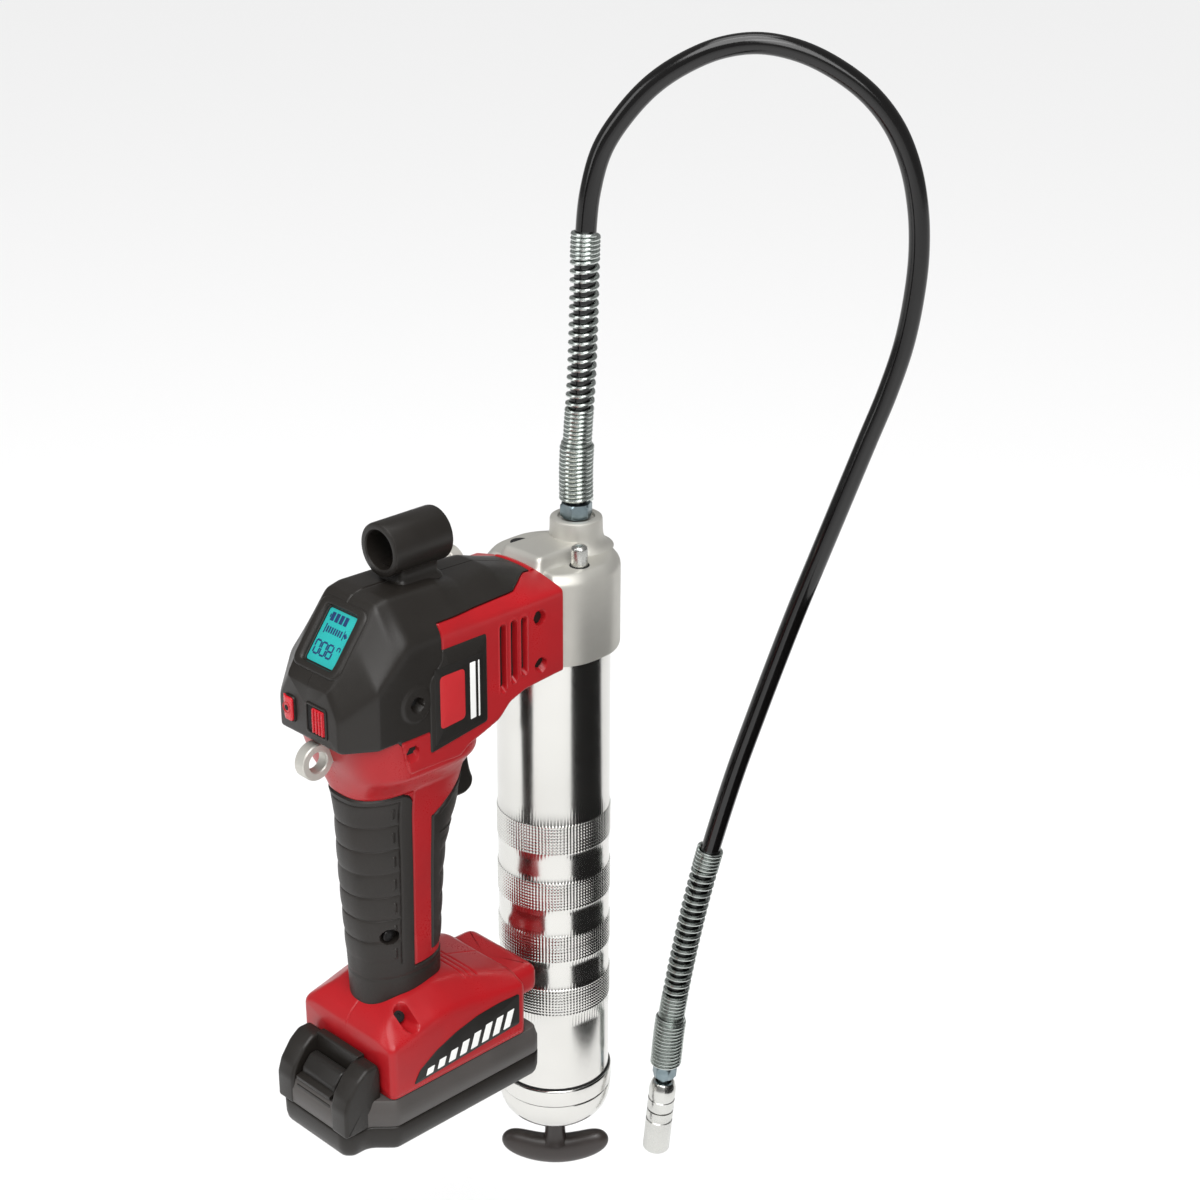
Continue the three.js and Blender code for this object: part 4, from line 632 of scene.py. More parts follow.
def build_barrel(sizes):
    """The tube is a cylinder whose radius grows, inside the bands, by knurl height times the product of two
    triangle waves, one round the tube and one along it, so that square pips stand in rows."""
    knurl = sizes.knurl_height / MM
    cell = 2 * np.pi * BARREL_R / KNURL_CELLS
    spans = [(BARREL_FOOT, KNURL_BANDS[-1][0], 8)]
    for low, high in reversed(KNURL_BANDS):
        spans.append((low, high, 4 * int(round((high - low) / cell))))
    for upper, lower in zip(KNURL_BANDS[:-1], KNURL_BANDS[1:]):
        spans.append((lower[1], upper[0], 4))
    spans.append((KNURL_BANDS[0][1], BARREL_TOP, 10))
    z = spaced(*spans)
    angle = np.linspace(0, 2 * np.pi, 4 * KNURL_CELLS, endpoint=False)
    round_wave = KNURL_WAVE[np.arange(angle.size) % 4]
    radius = np.full((z.size, angle.size), BARREL_R)
    for low, high in KNURL_BANDS:
        inside = (z > low + 0.05) & (z < high - 0.05)
        phase = ((z - low) / cell) % 1.0
        wave = np.clip(1.55 - np.abs(2 * phase - 1) * 1.55, 0, 1) * inside
        radius += knurl * (0.25 * inside[:, None] + wave[:, None] * round_wave[None])
    radius = np.concatenate([radius, np.full((2, angle.size), BARREL_BORE)])
    z = np.broadcast_to(np.append(z, [BARREL_TOP, BARREL_FOOT])[:, None], radius.shape)
    tube = np.stack([radius * np.cos(angle), radius * np.sin(angle), z], axis=-1)
    tube = moved(looped(tube), (BARREL_X, 0, 0))
    make("knurled_barrel", [(tube, "bright")], "cartridge_tube", ["barrel"])
    outer = [(28.95, -156.9), (29.5, -157.0), (29.9, -157.4), (30.0, -158.0), (30.0, -165.6), (29.75, -166.2),
             (29.6, -166.6), (29.8, -167.1), (29.85, -168.0), (29.6, -171.5), (28.9, -175.0), (27.6, -178.3),
             (25.5, -181.4), (22.6, -184.1), (18.8, -186.5), (14.6, -188.4), (10.5, -189.6), (7.0, -190.0)]
    lining = [(6.2, -189.8), (6.2, -188.4), (10.3, -188.0), (14.2, -186.8), (18.2, -185.0), (21.8, -182.7),
              (24.6, -180.1), (26.6, -177.1), (27.7, -174.2), (28.3, -171.4), (28.9, -168.0)]
    cap = moved(turned(outer + lining, 128, closed=True), (BARREL_X, 0, 0))
    # A thin black ring in the seam where tube and cap meet: painted shade, standing for the shadow in the
    # gap.
    seam_shade = [(28.65, -157.6), (28.65, -156.2), (29.15, -156.2), (29.35, -156.6), (29.35, -157.6)]
    seam_shade = moved(turned(seam_shade, 96, closed=True), (BARREL_X, 0, 0))
    make("barrel_end_cap", [(cap, "bright"), (seam_shade, "hole")], "cartridge_tube", ["end_cap"])


def build_handle():
    """A crescent: its middle line rises as the square of the distance from the centre, and its oval section
    shrinks to nothing at the rounded tips as the square root of one minus the eighth power."""
    half_span, rise = 28.2, 8.6
    s = np.sin(np.linspace(-np.pi / 2, np.pi / 2, 72))
    tall = (8.2 - 1.6 * s ** 2) * np.sqrt(np.clip(1 - s ** 8, 0, 1)) + 0.02
    deep = (6.2 - 1.0 * s ** 2) * np.sqrt(np.clip(1 - s ** 8, 0, 1)) + 0.02
    middle = np.array([BARREL_X, 0, -214.2]) + half_span * s[:, None] * HOSE_OUT + rise * UP * s[:, None] ** 2
    lean = unit(np.stack([half_span * np.ones_like(s), 2 * rise * s], axis=-1))
    up = lean[:, :1] * UP - lean[:, 1:] * HOSE_OUT
    angle = np.linspace(0, 2 * np.pi, 40, endpoint=False)
    cosine, sine = np.cos(angle), np.sin(angle)
    flank = (np.sign(sine) * np.abs(sine) ** 0.8)[None, :, None]
    rings = (middle[:, None] + tall[:, None, None] * up[:, None] * cosine[None, :, None]
             + deep[:, None, None] * HOSE_SIDE[None, None] * flank)
    neck = [(7.5, -209.0), (6.4, -206.8), (5.7, -204.4), (5.5, -201.5), (5.4, -194.0), (5.3, -188.0)]
    neck = turned(neck, 40)
    make("t_shaped_pull", [(stacked(rings), "handle"), (moved(neck, (BARREL_X, 0, 0)), "handle")], "rod",
         ["t_handle"])


# ---- upper body: red shell and dark cover -----------------------------------------------------
BODY_HALF = 31.5
BODY_BACK, BODY_FRONT = -44.0, 85.0
AXIS_Z = 112.0
SHOULDER_Z = 138.4             # joint line between shell and cover along the sides
COVER_FLOOR = 87.5             # lowest line of the cover's sides
COVER_STEP = -15.5             # behind this the cover reaches right down
COVER_BACK_EDGE = 9.5          # behind this the sides are dark
COVER_FRONT = 81.0
SINK = 3.0                     # each skin lies this deep where the other one shows
VENTS = [(46.4, 92.6, 127.4), (53.3, 95.6, 127.6), (59.8, 97.6, 127.4)]   # middle x, low and high z
VENT_HALF = 1.9
END_ROUND = 2.4                # radius of the rounding at the back end
PIT_DEPTH = 4.0                # of the pits in which the screws sit
PANEL = [(0.6, 76.2), (36.6, 81.2), (36.6, 126.8), (8.4, 126.8), (8.4, 121.2), (0.6, 113.0)]
SLOPE_TOP, SLOPE_FOOT = np.array([-17.0, 151.0]), np.array([-42.0, 118.0])   # of the display, in x and z
SLOPE_MIDDLE = (SLOPE_TOP + SLOPE_FOOT) / 2
SLOPE_RUN = unit(SLOPE_TOP - SLOPE_FOOT)
SCREWS = {  # node: x, surface y, z
    "screw_head_upper": (70.0, -31.5, 124.0), "screw_head_lower": (70.5, -31.5, 99.0),
    "screw_cover": (-6.5, -31.5, 104.4), "screw_body": (-9.5, -29.0, 80.2),
    "screw_grip": (-14.0, -17.6, -21.5), "screw_foot": (3.0, -30.0, -68.5),
}


def body_section(x):
    """Half width, shoulder height, top half width, top and bottom of the upper body at each place along X."""
    top = eased(x, [-44, -42, -17, -10, 20, 33, 56, 80, 85],
                [116, 118, 151, 152.6, 152, 148.3, 147.5, 140, 139])
    half = eased(x, [-44, -29, 85], [21.3, BODY_HALF, BODY_HALF], 0.8)
    flat = eased(x, [-44, -30, 20, 50, 80], [14.5, 17, 17, 12, 10], 2.0)
    shoulder = eased(x, [-44, -10, 85], [103.4, 134, 134], 2.0)
    bottom = eased(x, [-44, -16, -12, 19.7, 25.4, 34.9, 44.4, 50.9, 60.6, 70.3, 84.7],
                   [88, 88, 69, 68, 72.3, 75.3, 78.8, 85.5, 89, 90, 91.1], 1.6)
    return half, shoulder, flat, top, bottom


def body_grid(rows):
    """Angles and radii of the upper body about the line y = 0, z = 112, as one half from the bottom centre
    to the top centre and its mirror image. Each half's columns run through two joint lines, the cover's
    lower edge and its shoulder. The outline is a power mean of side, top, bottom and shoulder walls. Also
    gives each column's steps from the bottom centre, and the steps of the joint lines and the top."""
    half, shoulder, flat, top, bottom = body_section(rows)
    low = np.arctan2(COVER_FLOOR - AXIS_Z, half)
    along_slope = (SHOULDER_Z - shoulder) / np.maximum(top - shoulder, 1.0)
    side_y = half + (flat - half) * np.clip(along_slope, 0, 1)
    nose_y = np.interp(rows, [50, 58, 66, 72, 76, 80], [30, 25.5, 20.5, 16.2, 13.6, 12.6])
    joint_y = np.minimum(side_y, nose_y)
    up_slope = np.clip((half - joint_y) / (half - flat), 0, 1)
    joint_z = np.minimum(shoulder + (top - shoulder) * up_slope, top)
    joint = np.arctan2(joint_z - AXIS_Z, joint_y)
    knots = [np.full(rows.size, -np.pi / 2), low, joint, np.full(rows.size, np.pi / 2)]
    theta, level, marks = mirrored_angles(knots, (54, 92, 56))
    lean = np.arctan2(half - flat, top - shoulder)
    reach = np.cos(lean) * flat + np.sin(lean) * (top - AXIS_Z)
    walls = [(0, half), (np.pi, half), (np.pi / 2, top - AXIS_Z), (-np.pi / 2, AXIS_Z - bottom),
             (lean, reach), (np.pi - lean, reach)]
    return theta, wall_radius(theta, walls, 34), level, marks


def inside_outline(x, z, outline):
    """Whether each point lies inside a closed outline, by counting the edges that a ray crosses."""
    hits = np.zeros(x.shape, int)
    for (x0, z0), (x1, z1) in zip(outline, np.roll(outline, -1, axis=0)):
        spans = (z0 > z) != (z1 > z)
        hits += spans & (x < x0 + (z - z0) * (x1 - x0) / (z1 - z0 if z1 != z0 else 1e-9))
    return hits % 2 == 1


def from_screw(name, x, z):
    """Distance of each point from a screw's middle, seen along Y."""
    return np.hypot(x - SCREWS[name][0], z - SCREWS[name][2])


def screw_pit(name, x, z, depth, radius=3.6, wall=0.3):
    """A round pit with a steep wall: how far the skin sinks at each point round a screw."""
    return depth * smooth_step(radius - from_screw(name, x, z), 0.0, wall)


def build_body(sizes):
    """Red and dark skins on one grid. Each lies at the outline where it shows and SINK below it where the
    other one does, and both dip to the groove's depth on the line between them. Vents, pits and the pocket
    for the side panel are depths added to the radius."""
    groove = sizes.groove_depth / MM
    rows = spaced((BODY_BACK, -42, 8), (-42, COVER_STEP, 40), (COVER_STEP, COVER_BACK_EDGE, 36),
                  (COVER_BACK_EDGE, 43, 48), (43, 63, 60), (63, 76, 22), (76, COVER_FRONT, 12),
                  (COVER_FRONT, BODY_FRONT, 8))
    theta, radius, level, (low_mark, joint_mark, top_mark) = body_grid(rows)
    x = rows[:, None]
    y, z = radius * np.cos(theta), AXIS_Z + radius * np.sin(theta)
    closed = ((x <= COVER_STEP) | ((x <= COVER_BACK_EDGE) & (level >= low_mark))
              | ((x <= COVER_FRONT) & (level >= joint_mark)))
    open_cover = ((x < COVER_STEP) | ((x < COVER_BACK_EDGE) & (level > low_mark))
                  | ((x < COVER_FRONT) & (level > joint_mark)))
    border = closed & ~open_cover
    flank = np.abs(y) > BODY_HALF - 1.2
    panel = rounded(PANEL, 2.5)
    panel = panel + 0.9 * inwards(panel)
    pocket = flank & inside_outline(x + 0 * y, z, panel)
    from_end = np.clip(1 - (x - BODY_BACK) / END_ROUND, 0, None)
    end_round = END_ROUND * (1 - np.sqrt(np.clip(1 - from_end ** 2, 0, 1)))

    red = np.where(open_cover, -SINK, 0.0)
    for middle, low, high in VENTS:
        end = np.clip(np.maximum(low + VENT_HALF - z, z - high + VENT_HALF), 0, None)
        slot = VENT_HALF - np.hypot(x - middle, end)
        lip = 0.35 * np.exp(-((slot + 0.35) / 0.3) ** 2)
        red = np.where(flank, red - 4.5 * smooth_step(slot, 0.0, 0.35) + lip, red)
    for name in ("screw_head_upper", "screw_head_lower", "screw_body", "screw_cover"):
        red = np.where(y < -15, red - screw_pit(name, x, z, PIT_DEPTH), red)
    rim = np.clip(1 - np.abs(x - COVER_FRONT - 1.8) / 1.6, 0, 1) * (level > joint_mark)
    red = red + 0.9 * smooth_step(rim, 0.0, 0.6)
    red = np.where(border, -groove, red)
    dark = np.where(open_cover, 0.3, -SINK)
    dark = np.where(border, -groove, dark)
    dark = np.where((level == top_mark) & (x < COVER_FRONT - 1), dark - 0.45, dark)
    dark = np.where((y < -15) & open_cover, dark - screw_pit("screw_cover", x, z, PIT_DEPTH), dark)
    boss = smooth_step(9.5 - from_screw("screw_cover", x, z), 0.0, 2.0)
    dark = dark + np.where(flank & open_cover & (x < 8.5), 0.5 * boss, 0)
    slope_u, slope_v = slope_place(x + 0 * y, z)
    window = (np.abs(y) < 12.5) & (np.abs(slope_v) < 15.0) & (slope_u > -4)
    dark = np.where(window, -SINK - 1.0, dark)
    for depth, shown, name, key, slot, stands in (
            (red, rows > COVER_STEP - 2, "red_shell_body", "red", "red_shell", []),
            (dark, rows < COVER_FRONT + 1.5, "dark_motor_cover", "dark", "dark_cover",
             ["cover_right", "cover_left"])):
        depth = np.where(pocket, np.minimum(depth, -2.2), depth) - end_round
        rings = rings_along_x(x, theta, radius + depth, AXIS_Z)[shown]
        make(name, [(stacked(rings), key)], "tool", stands)


def slope_place(x, z):
    """Height above the display slope and distance up it from its middle, for points on the centre plane."""
    dx, dz = x - SLOPE_MIDDLE[0], z - SLOPE_MIDDLE[1]
    return -dx * SLOPE_RUN[1] + dz * SLOPE_RUN[0], dx * SLOPE_RUN[0] + dz * SLOPE_RUN[1]


def on_slope(skin):
    """Carries a piece drawn face up, with its X up the slope, on to the display slope."""
    points, quads, tris = skin
    x = SLOPE_MIDDLE[0] + points[:, 0] * SLOPE_RUN[0] - points[:, 2] * SLOPE_RUN[1]
    z = SLOPE_MIDDLE[1] + points[:, 0] * SLOPE_RUN[1] + points[:, 2] * SLOPE_RUN[0]
    return np.stack([x, points[:, 1], z], axis=-1), quads, tris


def rectangle(u0, u1, v0, v1, radius):
    """A rectangle's outline with rounded corners."""
    return rounded([(u0, v0), (u1, v0), (u1, v1), (u0, v1)], radius)


def matched(outline, count=120):
    """The outline resampled to a number of points at even shares of its length."""
    closed = np.concatenate([outline, outline[:1]])
    length = np.concatenate([[0], np.cumsum(np.linalg.norm(np.diff(closed, axis=0), axis=1))])
    even = np.linspace(0, length[-1], count, endpoint=False)
    return np.stack([np.interp(even, length, closed[:, i]) for i in (0, 1)], axis=-1)


LCD_FACE = -1.1                # height of the lit sheet under the display slope


def bar_mark(u, v, du, dv, turn=0.0):
    """A thin display segment about (u, v), du long and dv wide."""
    corners = np.array([(-du, -dv), (du, -dv), (du, dv), (-du, dv)]) / 2
    c, s = math.cos(turn), math.sin(turn)
    line = rounded(corners @ np.array([[c, s], [-s, c]]) + [u, v], 0.1, 2.0)
    return slab(line, LCD_FACE, LCD_FACE + 0.1, 0.03)


DIGIT_SEGMENTS = {0: "abcdef", 8: "abcdefg"}


def digit(value, u, v, height=6.2, width=3.3):
    """Seven-segment figure about (u, v): u up the slope, v across it."""
    h, w = height / 2, width / 2
    places = {"a": (h, 0, 0), "g": (0, 0, 0), "d": (-h, 0, 0), "b": (h / 2, -w, 1), "c": (-h / 2, -w, 1),
              "f": (h / 2, w, 1), "e": (-h / 2, w, 1)}
    marks = []
    for key in DIGIT_SEGMENTS[value]:
        du, dv, upright = places[key]
        size = (h * 0.88, 0.85) if upright else (0.85, width * 0.8)
        marks.append(bar_mark(u + du, v + dv + 0.12 * du, *size))
    return marks


def build_display():
    """A frame carried from an outer outline to an inner one, and a lit sheet with raised segments on it."""
    outer = matched(rectangle(-17.5, 17.5, -16.5, 16.5, 5.5))
    inner = matched(rectangle(-13.2, 13.2, -9.9, 9.9, 1.6))
    levels = [(0.0, -1.0), (0.0, -0.1), (0.06, 0.55), (0.16, 0.95), (0.3, 1.1), (0.62, 1.1), (0.74, 0.95),
              (0.84, 0.4), (0.9, -0.7), (1.0, -0.9), (1.0, -3.2), (0.3, -3.2)]
    bezel = on_slope(framed(outer, inner, levels))
    make("display_frame", [(bezel, "dark")], "tool", ["display_bezel"])
    glass = slab(rectangle(-12.9, 12.9, -9.6, 9.6, 1.4), -2.6, LCD_FACE, 0.1)
    marks = [bar_mark(9.3, v, 4.2, 2.3) for v in (5.6, 2.5, -0.6, -3.7)]
    marks += [bar_mark(9.3, 7.3, 1.6, 0.7), bar_mark(3.2, 6.9, 4.6, 0.7), bar_mark(3.2, -6.0, 4.6, 0.5)]
    marks += [bar_mark(3.2, v, 3.0, 1.0) for v in (5.4, 3.8, 2.2, 0.6, -1.0, -2.6, -4.2)]
    marks += [bar_mark(3.2, -7.3, 2.2, 1.6, 0.7)]
    for value, v in ((0, 6.3), (0, 1.9), (8, -2.5)):
        marks += digit(value, -6.0, v)
    marks += [bar_mark(-3.6, -6.4, 1.6, 0.6), bar_mark(-3.6, -8.2, 1.6, 0.6), bar_mark(-2.7, -7.3, 0.6, 1.6)]
    skins = [(on_slope(glass), "lcd")] + [(on_slope(mark), "ink") for mark in marks]
    make("display_face", skins, "tool", ["display_window"])


def build_labels():
    """Both side panels: a dark plate with eased edges and a raised printed field with plain stripes."""
    face = BODY_HALF + 0.55
    plate_line = matched(rounded(PANEL, 2.2), 200)
    plate = slab(plate_line + 0.35 * inwards(plate_line), BODY_HALF - 2.0, face, 0.9, "y")
    field = slab(rounded([(4.0, 79.6), (33.6, 83.6), (33.6, 118.0), (4.0, 118.0)], 0.8), face - 0.2,
                 face + 0.12, 0.1, "y")
    skins = [(plate, "dark"), (field, "label")]
    for u, width in ((25.2, 3.4), (30.2, 0.9)):
        stripe = rounded([(u, 86.2), (u + width, 86.5), (u + width, 115.0), (u, 115.0)], 0.4)
        skins.append((slab(stripe, face, face + 0.2, 0.05, "y"), "white"))
    emblem = rounded([(7.0, 87.0), (22.0, 88.2), (22.0, 113.5), (7.0, 113.5)], 2.5)
    skins.append((slab(emblem, face, face + 0.2, 0.05, "y"), "emblem"))
    for side, name in ((-1, "right"), (1, "left")):
        make("side_panel_plate_" + name, [(flipped(skin, (1, side, 1)), key) for skin, key in skins], "tool",
             ["side_panel_" + name])


# ---- grip and neck ----------------------------------------------------------------------------
REAR_LINE, FRONT_LINE = -1.0, 11.0      # edges of the two rubber skins on the sides
REAR_TOP, FRONT_TOP = 54.0, 36.0
COLLAR_TOP, FRONT_FOOT = -42.0, -38.0
GRIP_FOOT, NECK_TOP = -60.5, 92.0
RIB_PITCH = 12.6
RIB_TOP = REAR_TOP - 3.0                # the ribs are counted down from here
RUBBER_SINK = 2.0                       # each skin lies this deep where the other one shows


def grip_section(z):
    """Rear and front ends and half width of the grip and neck at each height."""
    rear = eased(z, [-60, -42, 0, 46, 56, 66, 78, 92],
                 [-22, -22.6, -25.4, -27.4, -28.0, -30.2, -34.5, -38.5], 3)
    front = eased(z, [-60, -42, 0, 14, 24, 31, 38, 58, 92], [23.5, 23.8, 27.2, 29.2, 33, 37, 39, 40, 41], 3)
    half = eased(z, [-60, -42, 0, 44, 55, 62, 67, 92], [17.8, 18.0, 18.8, 19.9, 21.2, 26.5, 31.0, 31.2], 2)
    return rear, front, half


def build_grip(sizes):
    """Superellipses stacked up the grip, of power 2.3 that grows to 3.6 in the neck. The columns run through
    the edges of the red stripe, so that the rubber skins meet it along grid lines. At the rear the rubber's
    upper corner is an arc and at the front its top is slanted, both worked out as how much of the rubber is
    kept at each place. Ribs are arcs repeated up the skin, each ending in a small step."""
    groove, rib = sizes.groove_depth / MM, sizes.rib_height / MM
    z = spaced((GRIP_FOOT, COLLAR_TOP, 24), (COLLAR_TOP, FRONT_FOOT, 8), (FRONT_FOOT, FRONT_TOP, 150),
               (FRONT_TOP, REAR_TOP, 38), (REAR_TOP, NECK_TOP, 40))
    rear, front, half = grip_section(z)
    middle, depth = (rear + front) / 2, (front - rear) / 2
    power = eased(z, [-60, 46, 68, 92], [2.3, 2.3, 3.6, 3.6], 4)

    def angle_at(x):
        """Angle at which each section's outline stands at x."""
        share = np.clip((x - middle) / depth, -0.999, 0.999)
        width = (1 - np.abs(share) ** power) ** (1 / power)
        return np.arctan2(width * half, share * depth)

    knots = [np.zeros(z.size), angle_at(FRONT_LINE), angle_at(REAR_LINE), np.full(z.size, np.pi)]
    theta, level, (mark_front, mark_rear, _) = mirrored_angles(knots, (40, 14, 88))
    cosine, sine = np.abs(np.cos(theta)) / depth[:, None], np.abs(np.sin(theta)) / half[:, None]
    bend = power[:, None]
    radius = (cosine ** bend + sine ** bend) ** (-1 / bend)
    high = z[:, None]
    x = middle[:, None] + radius * np.cos(theta)
    collar = high < COLLAR_TOP
    rear_in = collar | ((level > mark_rear) & (high < REAR_TOP))
    front_in = (level < mark_front) & (high > FRONT_FOOT) & (high < REAR_TOP)
    rear_closed = (high <= COLLAR_TOP) | ((level >= mark_rear) & (high <= REAR_TOP))
    front_closed = (level <= mark_front) & (high >= FRONT_FOOT) & (high <= FRONT_TOP)
    border = (rear_closed & ~rear_in) | (front_closed & ~front_in)
    rubber_in = rear_in | front_in

    across, below = REAR_LINE - x, REAR_TOP - high
    arc = 7.0
    corner = arc - np.hypot(np.clip(arc - across, 0, None), np.clip(arc - below, 0, None))
    slant = FRONT_TOP + 0.5 * (x - FRONT_LINE) - high
    kept = np.where(rear_in & ~collar, smooth_step(corner, 0.0, 0.7), smooth_step(slant, 0.0, 0.9) * front_in)
    kept = np.where(collar, 1.0, kept)
    red = np.where(rubber_in, -RUBBER_SINK * kept, np.where(border, -groove, 0.0))
    phase = ((RIB_TOP - high) / RIB_PITCH) % 1.0
    scallop = rib * (1.0 - (2 * phase - 1) ** 2) ** 0.5 * (phase > 0.03)
    off_edge = REAR_LINE - 7.5 - x
    ribbed = smooth_step(off_edge, 0.0, 0.8) * (high > COLLAR_TOP + 6) * (high < RIB_TOP)
    edge_rim = np.exp(-((off_edge + 0.2) / 0.5) ** 2) * (high > COLLAR_TOP + 4) * (high < RIB_TOP)
    notch = np.exp(-((off_edge - 3.0) / 0.6) ** 2) * (phase > 0.3) * (phase < 0.72)
    rubber = 0.5 + ribbed * (scallop - 0.45 + 0.8 * notch) - 0.45 * edge_rim
    front_ribs = smooth_step(x - FRONT_LINE, 6.0, 7.0) * (high < 20)
    rubber = np.where(front_in, 0.5 + front_ribs * (scallop - 0.45), rubber)
    inset = (x > FRONT_LINE + 5) & (high > 24.5) & (slant > 3.5) & front_in
    rubber = rubber - 0.6 * inset
    collar_line = np.exp(-((high + 45.5) / 0.5) ** 2) * 0.45
    shown = (rubber - collar_line + RUBBER_SINK) * kept - RUBBER_SINK
    rubber = np.where(border, -groove, np.where(rubber_in, shown, -RUBBER_SINK))
    right = np.sin(theta) < 0
    pit = screw_pit("screw_grip", x, high, 5.0, 4.2, 0.4) * right
    rubber = np.where(rubber_in, rubber - pit, rubber)
    neck_pit = screw_pit("screw_body", x, high, 8.0, 4.3) * right
    red = red - 1.4 * pit - neck_pit

    for lift, up_to, name, key, slot, stands in (
            (red, NECK_TOP, "grip_core", "red", "red_shell", []),
            (rubber, REAR_TOP + 0.4, "grip_overmould", "rubber", "overmould", ["grip_rear", "grip_front"])):
        reach = radius + lift
        rings = np.stack([middle[:, None] + reach * np.cos(theta), reach * np.sin(theta),
                          np.broadcast_to(high, reach.shape)], axis=-1)
        make(name, [(stacked(rings[z <= up_to]), key)], "tool", stands)


# ---- foot -------------------------------------------------------------------------------------
FOOT_BACK, FOOT_FRONT, FOOT_HALF, FOOT_FLOOR = -30.7, 56.6, 34.2, -98.0
FOOT_AXIS = -84.0
FOOT_GROOVES = (25.5, 29.5, 33.5)
FOOT_BORE = (-15.0, -63.5, 3.8, 19.5)     # screw hole along Y: x, z, radius and the y where its screw sits


def build_foot():
    """The foot's cross-sections: flat sides up to a shoulder line that arches along X, then a slope to the
    ridge. Walls are blended by a power mean about the line y = 0, z = -84. The screw's bore runs along Y:
    inside it the radius stops at the bore's lower wall or at its round end, whichever is further out."""
    x = spaced((FOOT_BACK, FOOT_BACK + 4, 14), (FOOT_BACK + 4, 22, 100), (22, 38, 60),
               (38, FOOT_FRONT - 4, 24), (FOOT_FRONT - 4, FOOT_FRONT, 14))
    top = eased(x, [-31, -25, -12, 8, 22, 57], [-69, -62, -55, -52.5, -55, -66.5], 3)
    edge = eased(x, [-31, -20, -10, 0, 8, 18, 27, 49, 57],
                 [-70.8, -68.5, -66, -63.5, -63.5, -65, -67, -69.5, -70.5], 3)
    flat = eased(x, [-31, -16, 0, 22, 57], [27, 19, 19, 20, 24], 4)
    theta = np.linspace(-np.pi / 2, 3 * np.pi / 2, 360, endpoint=False)[None] + np.zeros((x.size, 1))
    lean = np.arctan2(FOOT_HALF - flat, top - edge)
    reach = np.cos(lean) * flat + np.sin(lean) * (top - FOOT_AXIS)
    walls = [(0, FOOT_HALF), (np.pi, FOOT_HALF), (np.pi / 2, top - FOOT_AXIS),
             (-np.pi / 2, FOOT_AXIS - FOOT_FLOOR), (lean, reach), (np.pi - lean, reach)]
    radius = wall_radius(theta, walls, 30)
    for end, sign in ((FOOT_BACK, 1), (FOOT_FRONT, -1)):
        t = np.clip(sign * (x - end) / 4.0, 0, 1)
        radius = radius - (3.4 * (1 - np.sqrt(1 - (1 - t) ** 2)))[:, None]
    y, z = radius * np.cos(theta), FOOT_AXIS + radius * np.sin(theta)
    across = smooth_step(23.5 - np.abs(y), 0.0, 1.5) * (z > -75)
    for groove_x in FOOT_GROOVES:
        radius = radius - 0.9 * np.exp(-((x[:, None] - groove_x) / 0.6) ** 2) * across
    bore_x, bore_z, bore_radius, bore_end = FOOT_BORE
    off = np.clip(np.abs(x[:, None] - bore_x), 0, bore_radius)
    bottom = bore_z - np.sqrt(bore_radius ** 2 - off ** 2)
    sine, cosine = np.sin(theta), np.cos(theta)
    upper = (cosine < -0.2) & (sine > 0.05) & (off < bore_radius)
    end = bore_end + bore_radius - np.sqrt(bore_radius ** 2 - off ** 2)
    carve = np.maximum((bottom - FOOT_AXIS) / np.where(upper, sine, 1), end / np.where(upper, -cosine, 1))
    radius = np.where(upper, np.minimum(radius, carve), radius)
    seam = 0.4 * np.exp(-(y / 0.35) ** 2) * (z > FOOT_AXIS)
    rings = rings_along_x(x[:, None], theta, radius - seam, FOOT_AXIS)
    nose_line = rounded([(44, -26), (73.4, -26), (73.4, 26), (44, 26)], 7)
    nose = stacked(layered(nose_line, [-84, -83.6, -82.6, -81, -74.5, -72.6, -70.9, -69.8, -69.5],
                           [2, 0.8, 0.2, 0, 0, 0.5, 2.0, 4.2, 6.0]))
    base = slab(rounded([(-30.5, -34), (56.4, -34), (56.4, 34), (-30.5, 34)], 4), -98.2, -92, 0.3)
    # The screw at the end of the bore is drawn all black in the unlit finish: painted shade down the bore.
    screw = moved(turned([(3.3, -1.0), (3.3, 0.3), (2.9, 0.6), (1.2, 0.6), (1.0, 0.0)], 32),
                  (bore_x, -1.2 - bore_end, bore_z + 0.4), (0, -0.75, 0.66))
    make("foot_moulding", [(stacked(rings), "red"), (nose, "red"), (base, "red"), (screw, "hole")], "tool",
         ["housing_right", "housing_left"])
    arch = [(-17.5, -95.0), (51.5, -91.5), (51.5, -74.2), (38, -73.6), (24, -74.4), (10, -77.4),
            (-3, -82.2), (-13.5, -88.5)]
    marks = [(slab(rounded(arch, 1.4), FOOT_HALF - 1.0, FOOT_HALF + 0.3, 0.15, "y"), "label")]
    for i in range(8):
        left, low, tall = -10 + 7.2 * i, -93.2 + 0.4 * i, 3.6 + 1.1 * min(i, 5)
        right, slant = left + 4.4, 0.35 * tall
        bar = rounded([(left, low), (right, low + 0.25), (right + slant, low + tall + 0.25),
                       (left + slant, low + tall)], 0.4)
        marks.append((slab(bar, FOOT_HALF, FOOT_HALF + 0.42, 0.05, "y"), "white"))
    skins = [(flipped(skin, (1, side, 1)), key) for side in (-1, 1) for skin, key in marks]
    make("foot_labels", skins, "tool")


